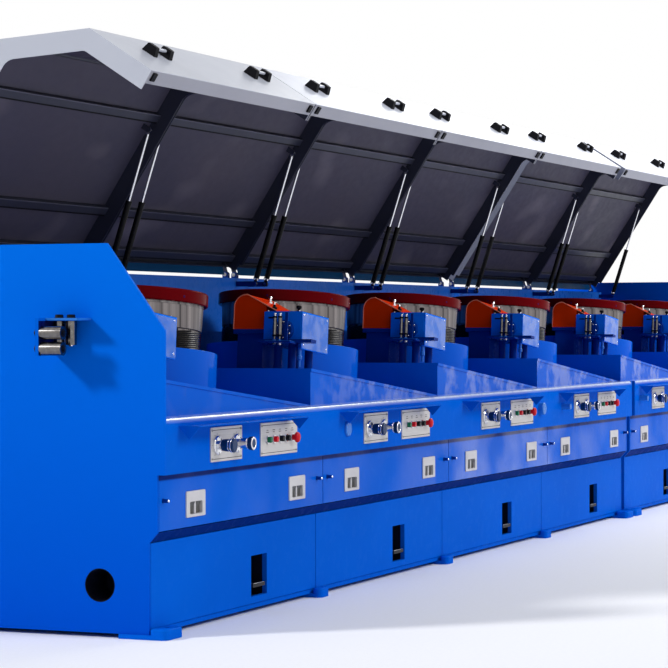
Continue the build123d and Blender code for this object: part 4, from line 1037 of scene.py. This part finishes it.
def build_die_box_fittings(bay, start):
    dark, bright, seam, light, door_skin = (bmesh.new() for _ in range(5))
    deck = deck_frame(start)
    line_side = deck.to_3x3() @ Vector((-1, 0, 0))
    block(door_skin, deck, (die_box_u + 0.003, die_box_front - 0.0012, door_h[0] + 0.003),
          (die_box_end - 0.003, die_box_front + 0.0002, door_h[1] - 0.006))
    block(dark, deck, (die_box_u + 0.002, die_box_front + 0.001, die_box_top - 0.0005),
          (die_box_end - 0.002, die_box_front + 0.008, die_box_top + 0.0016))
    block(light, deck, (tray_u[0], tray_front - 0.001, tray_h[0] + 0.007),
          (tray_u[1], tray_front + 0.001, tray_h[1] + 0.0006))
    block(light, deck, (guide_base_u[0] + 0.002, guide_base_v[0] + 0.002, guide_base_top - 0.0002),
          (guide_base_u[1] - 0.002, guide_base_v[1] - 0.002, guide_base_top + 0.0015))
    block(dark, deck, (die_box_u - 0.0012, 0.428, 0.246), (die_box_u + 0.0005, 0.458, 0.253))
    for index in range(nose_collar_count):
        nose_u = die_box_u - 0.022 - nose_collar_spacing * index
        collar(bright, placed(deck @ Vector((nose_u, wire_y, wire_h)), line_side), 0.0252, 0.0235, 0.0022)
    drain = [(0.006, 0.0), (0.006, 0.030), (0.011, 0.032), (0.011, 0.046), (0.008, 0.050), (0.008, 0.099)]
    lathe(light, moved(deck, die_box_u + 0.026, die_box_front + 0.018, 0.040), drain, 16)
    knob = [
        (0.011, 0.0), (0.011, 0.003), (0.006, 0.006), (0.006, 0.013),
        (0.012, 0.017), (0.012, 0.025), (0.009, 0.028),
    ]
    lathe(dark, moved(deck, die_box_u + 0.030, die_box_front + 0.030, die_box_top), knob, 24)
    lid = rounded_outline(die_box_length - 0.010, die_box_back - die_box_front - 0.014, 0.006)
    lid_v = (die_box_front + die_box_back) / 2 + 0.003
    slab(seam, moved(deck, die_box_u + die_box_length / 2, lid_v, die_box_top), lid, 0.0025, 0.0008)
    for u in (die_box_u + 0.014, die_box_end - 0.014):
        for v in (die_box_front + 0.020, die_box_back - 0.014):
            socket_screw(bright, moved(deck, u, v, die_box_top + 0.0024), 0.0045, 0.004)
    for u in (die_box_u + 0.020, die_box_end - 0.020):
        for h in (door_h[0] + 0.018, door_h[1] - 0.014):
            socket_screw(bright, placed(deck @ Vector((u, die_box_front, h)), (0, -1, 0)), small_screw, 0.0026)
    for degrees in range(30, 390, 60):
        off_v, off_h, _ = around(holder_screw_circle, math.radians(degrees))
        seat = deck @ Vector((die_box_u - 0.018, wire_y + off_v, wire_h + off_h))
        socket_screw(bright, placed(seat, line_side), small_screw, 0.004)
    nut = [(0.0080, 0.0), (0.0080, 0.007), (0.0068, 0.008)]
    pin_head = [(0.0045, 0.0), (0.0045, 0.006), (0.0062, 0.007), (0.0062, 0.011), (0.005, 0.0125)]
    for side in (-1, 1):
        roller = moved(deck, guide_u, wire_y + side * guide_reach)
        lathe(light, moved(roller, z=guide_base_top + 0.001), nut, 6)
        for low_h in (0.1605, 0.2400):
            collar(dark, moved(roller, z=low_h), 0.0094, 0.0082, 0.0085, 24)
        under = moved(roller, z=guide_base_top - 0.008)
        hex_bolt(bright, placed(under.translation, under.to_3x3() @ Vector((0, 0, -1))), 0.009)
        lathe(bright, moved(roller, z=0.249), pin_head, 16)
    finished(dark, f"die_box_knobs_{bay}", "rubber")
    finished(bright, f"die_box_screws_{bay}", "chrome")
    finished(seam, f"die_box_lids_{bay}", "blue_paint")
    finished(light, f"die_box_fittings_{bay}", "light_knob", bevel=0.0004)
    finished(door_skin, f"die_box_doors_{bay}", "door_paint", bevel=0.0006)


# Wire guards: flap, edges, stop, stud and foot bolts

guard_back = 0.636
guard_front = 0.486
guard_u = 0.424
guard_length = 0.251
guard_bottom = 0.204
guard_front_height = 0.105
guard_height = 0.150
guard_corner = 0.054
guard_peak_v = guard_back - 0.062
flap_front = 0.436
flap_sheet = 0.0026


def build_guard_fittings(bay, start):
    """Flap over the die box, rolled edges in a paler orange as painted highlight, a stop at the flap's end and
    bolts along the guard's foot.
    """
    bright, edge, flap, stop = (bmesh.new() for _ in range(4))
    guard_top = guard_bottom + guard_height
    shoulder_h = guard_bottom + guard_front_height
    fall = (guard_top - shoulder_h) / (guard_peak_v - guard_front)
    flap_end = (flap_front, shoulder_h - fall * (guard_front - flap_front))
    section = [flap_end, (guard_front, shoulder_h), (guard_peak_v, guard_top)]
    for step in range(7):
        angle = math.pi / 2 * (1 - step / 6)
        section.append((
            guard_back - guard_corner + guard_corner * math.cos(angle),
            guard_top - guard_corner + guard_corner * math.sin(angle),
        ))
    section.append((guard_back, guard_bottom))
    for u in (guard_u, guard_u + guard_length):
        tube(edge, [deck_frame(start, u) @ Vector((0, v, h)) for v, h in section], 0.0026)
    finished(edge, f"guard_edges_{bay}", "guard_edge_highlight", smooth_angle=80.0)
    overlap_v = guard_front + 0.004
    outline = [
        flap_end, (overlap_v, shoulder_h + 0.0006), (overlap_v, shoulder_h - 0.0020),
        (flap_front, flap_end[1] - flap_sheet),
    ]
    prism(flap, deck_frame(start), outline, guard_u, guard_u + guard_length)
    finished(flap, f"guard_flap_{bay}", "orange_paint")
    seat = deck_frame(start, guard_u + 0.022, flap_front + 0.020, flap_end[1] + fall * 0.020)
    lathe(stop, seat, [(0.012, -0.002), (0.013, 0.004), (0.010, 0.008), (0.006, 0.010), (0.006, 0.018)], 20)
    finished(stop, f"guard_stops_{bay}", "rubber")
    lathe(bright, seat, [(0.0045, 0.017), (0.0045, 0.026), (0.0035, 0.028)], 16)
    stud_from_front = 0.050
    stud_h = shoulder_h + fall * stud_from_front
    stud = deck_frame(start, guard_u + guard_length * 0.62, guard_front + stud_from_front, stud_h)
    knob = [(0.010, -0.004), (0.010, 0.003), (0.006, 0.005), (0.006, 0.016), (0.010, 0.019), (0.008, 0.026)]
    lathe(bright, stud, knob, 20)
    for step in range(3):
        foot = deck_frame(start, guard_u + 0.040 + step * 0.085, guard_front, guard_bottom + 0.014)
        socket_screw(bright, placed(foot.translation, (0, -1, 0)), 0.005, 0.004)
    finished(bright, f"guard_studs_{bay}", "chrome")


in_each_bay(build_die_box_fittings, build_guard_fittings)


# Entry guide: roller journals, bolts through the cheek and the roof, a painted shadow sheet on the cheek and under
# the roof, and painted highlight strips on the roof's edges

entry_cheek_high_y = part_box("entry_wire_guide")[1].y
entry_roof_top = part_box("entry_wire_guide")[1].z
entry_sheet = 0.013
entry_cheek_near_y = entry_cheek_high_y - entry_sheet
entry_roof_sheet = 0.009
entry_roller_length = 0.086
entry_level_x = -0.126
entry_upright_x = -0.036
entry_guide_z = 1.054
entry_guide_y = 0.376
entry_edge_x = -0.0005


def build_entry_fittings():
    bright, dark, lining, rim = (bmesh.new() for _ in range(4))
    journal = [(0.008, 0.0), (0.008, 0.004), (0.006, 0.005)]
    end_cap = [(0.0150, 0.0), (0.0150, 0.0012), (0.008, 0.0018), (0.008, 0.004), (0.006, 0.005)]
    for side in (-1, 1):
        z = entry_guide_z + side * 0.028
        y = entry_guide_y + side * 0.024
        hex_bolt(dark, placed((entry_level_x, entry_cheek_high_y, z), (0, 1, 0)), 0.015)
        free_end = (entry_level_x, entry_cheek_near_y - entry_roller_length, z)
        lathe(dark, placed(free_end, (0, -1, 0)), end_cap, 20)
        hex_bolt(dark, placed((entry_upright_x, y, entry_roof_top), (0, 0, 1), (0, 1, 0)), 0.016)
        under = (entry_upright_x, y, entry_roof_top - entry_roof_sheet - entry_roller_length)
        lathe(bright, placed(under, (0, 0, -1), (0, 1, 0)), journal, 20)
    finished(bright, "entry_roller_ends", "chrome")
    finished(dark, "entry_guide_bolts", "strut_black")
    # Painted shadow: near-black navy sheets on the cheek's inner face and under the roof, where the roof shades
    # them
    shadow_sheet_y = entry_cheek_near_y - 0.0012
    block(lining, world_frame, (-0.1485, shadow_sheet_y, 1.0025),
          (entry_edge_x, entry_cheek_near_y + 0.0002, entry_roof_top - 0.0095))
    block(lining, world_frame, (-0.0985, 0.2935, entry_roof_top - 0.0100),
          (entry_edge_x, shadow_sheet_y, entry_roof_top - 0.0089))
    finished(lining, "entry_guide_painted_shadow", "shadow_blue")
    # Painted highlight: thin light-blue strips along the roof's edges
    rim_low, rim_high = entry_roof_top - 0.0075, entry_roof_top + 0.0006
    block(rim, world_frame, (-0.1006, 0.2915, rim_low), (-0.0994, entry_cheek_near_y, rim_high))
    block(rim, world_frame, (-0.1006, 0.2912, rim_low), (entry_edge_x, 0.2924, rim_high))
    finished(rim, "entry_roof_painted_highlight", "light_knob")


def build_cable_bush():
    """Thin rubber bush in the cable hole, with a near-black sleeve behind it as painted shade in the hole."""
    bm = bmesh.new()
    sleeve = bmesh.new()
    hole = placed((0.0, 0.259, 0.185), (-1, 0, 0))
    collar(bm, moved(hole, z=-0.0125), 0.0597, 0.0565, 0.0123, 48, 0.001)
    finished(bm, "cable_bush", "rubber")
    collar(sleeve, moved(hole, z=-0.160), 0.0592, 0.0575, 0.147, 40)
    disc(sleeve, moved(hole, z=-0.1615), 0.0592, 0.0012, 40)
    finished(sleeve, "cable_hole_shade", "recess_shade_dark")


def build_hinge_heads():
    bm = bmesh.new()
    for start in bay_starts:
        low, high = hood_span(start)
        for arm in (low + 0.040, high - 0.050):
            for edge_x, side in ((arm - 0.009, -1), (arm + 0.019, 1)):
                disc(bm, placed((edge_x, hinge_y, hinge_z), (side, 0, 0)), 0.0095, 0.003, 20, 0.0008)
    finished(bm, "hinge_pin_heads", "bolt_steel")


build_entry_fittings()
build_cable_bush()
build_hinge_heads()


# Floor, lights and camera

fill_strength = 0.38


def build_floor():
    bpy.ops.mesh.primitive_plane_add(size=80, location=(5, 0, -0.0005))
    floor = bpy.context.active_object
    floor.name = "floor"
    shader = start_material("floor_paper")
    tone = clouds(coordinates(shader), 60.0, 3.0)
    cover(shader, mixed(tone, (0.93, 0.93, 0.94), (0.90, 0.90, 0.91)), 0.9, shine=0.1)
    floor.data.materials.append(paints["floor_paper"])


def build_world():
    """White to camera, glossy and transmission rays, a cool soft fill to everything else."""
    world = bpy.data.worlds.new("studio")
    bpy.context.scene.world = world
    world.use_nodes = True
    tree = world.node_tree
    tree.nodes.clear()
    output = tree.nodes.new("ShaderNodeOutputWorld")
    fill_light = {"Color": (0.80, 0.86, 1.0, 1.0), "Strength": fill_strength}
    fill = made(output, "Background", fill_light, "Background")
    seen = made(output, "Background", {"Color": (1.0, 1.0, 1.0, 1.0), "Strength": 1.0}, "Background")
    kinds = ("Camera", "Glossy", "Transmission")
    camera, glossy, through = (made(output, "LightPath", {}, f"Is {kind} Ray") for kind in kinds)
    white = math_node("MAXIMUM", camera, math_node("MAXIMUM", glossy, through))
    feed(output, {"Surface": made(output, "MixShader", {"Fac": white, 1: fill, 2: seen}, "Shader")})


def hung(name, data, matrix):
    """Object with a lamp or camera in it, placed in the scene."""
    holder = bpy.data.objects.new(name, data)
    holder.matrix_world = matrix
    bpy.context.scene.collection.objects.link(holder)
    return holder


def add_sun(name, direction, strength, angle):
    lamp = bpy.data.lights.new(name, "SUN")
    lamp.energy = strength
    lamp.angle = math.radians(angle)
    hung(name, lamp, placed((0, 0, 5), -Vector(direction)))


def add_softbox(name, place, target, width, height, watts):
    lamp = bpy.data.lights.new(name, "AREA")
    lamp.shape = "RECTANGLE"
    lamp.size = width
    lamp.size_y = height
    lamp.energy = watts
    hung(name, lamp, placed(place, Vector(place) - Vector(target)))


def build_camera():
    """Camera at the photograph's place: yaw from +X toward +Y, with its small pitch and roll."""
    place = Vector((-7.801, -3.892, 1.109))
    yaw, pitch = math.radians(22.603), math.radians(-0.218)
    roll = -0.135
    forward = Vector((math.cos(pitch) * math.cos(yaw), math.cos(pitch) * math.sin(yaw), math.sin(pitch)))
    data = bpy.data.cameras.new("photo_camera")
    data.sensor_width = 36.0
    data.lens = 133.5
    data.clip_end = 200.0
    bpy.context.scene.camera = hung("photo_camera", data, turned(placed(place, -forward), roll))


build_floor()
build_world()
add_sun("left_light", (0.60, -0.60, -0.53), 2.1, 8.0)
add_sun("front_light", (-0.08, 0.80, -0.56), 1.4, 20.0)
add_softbox("far_card", (9.5, -0.6, 5.0), (7.0, 0.3, 1.6), 5.0, 2.4, 300)
build_camera()
bpy.context.scene.view_settings.view_transform = "Standard"
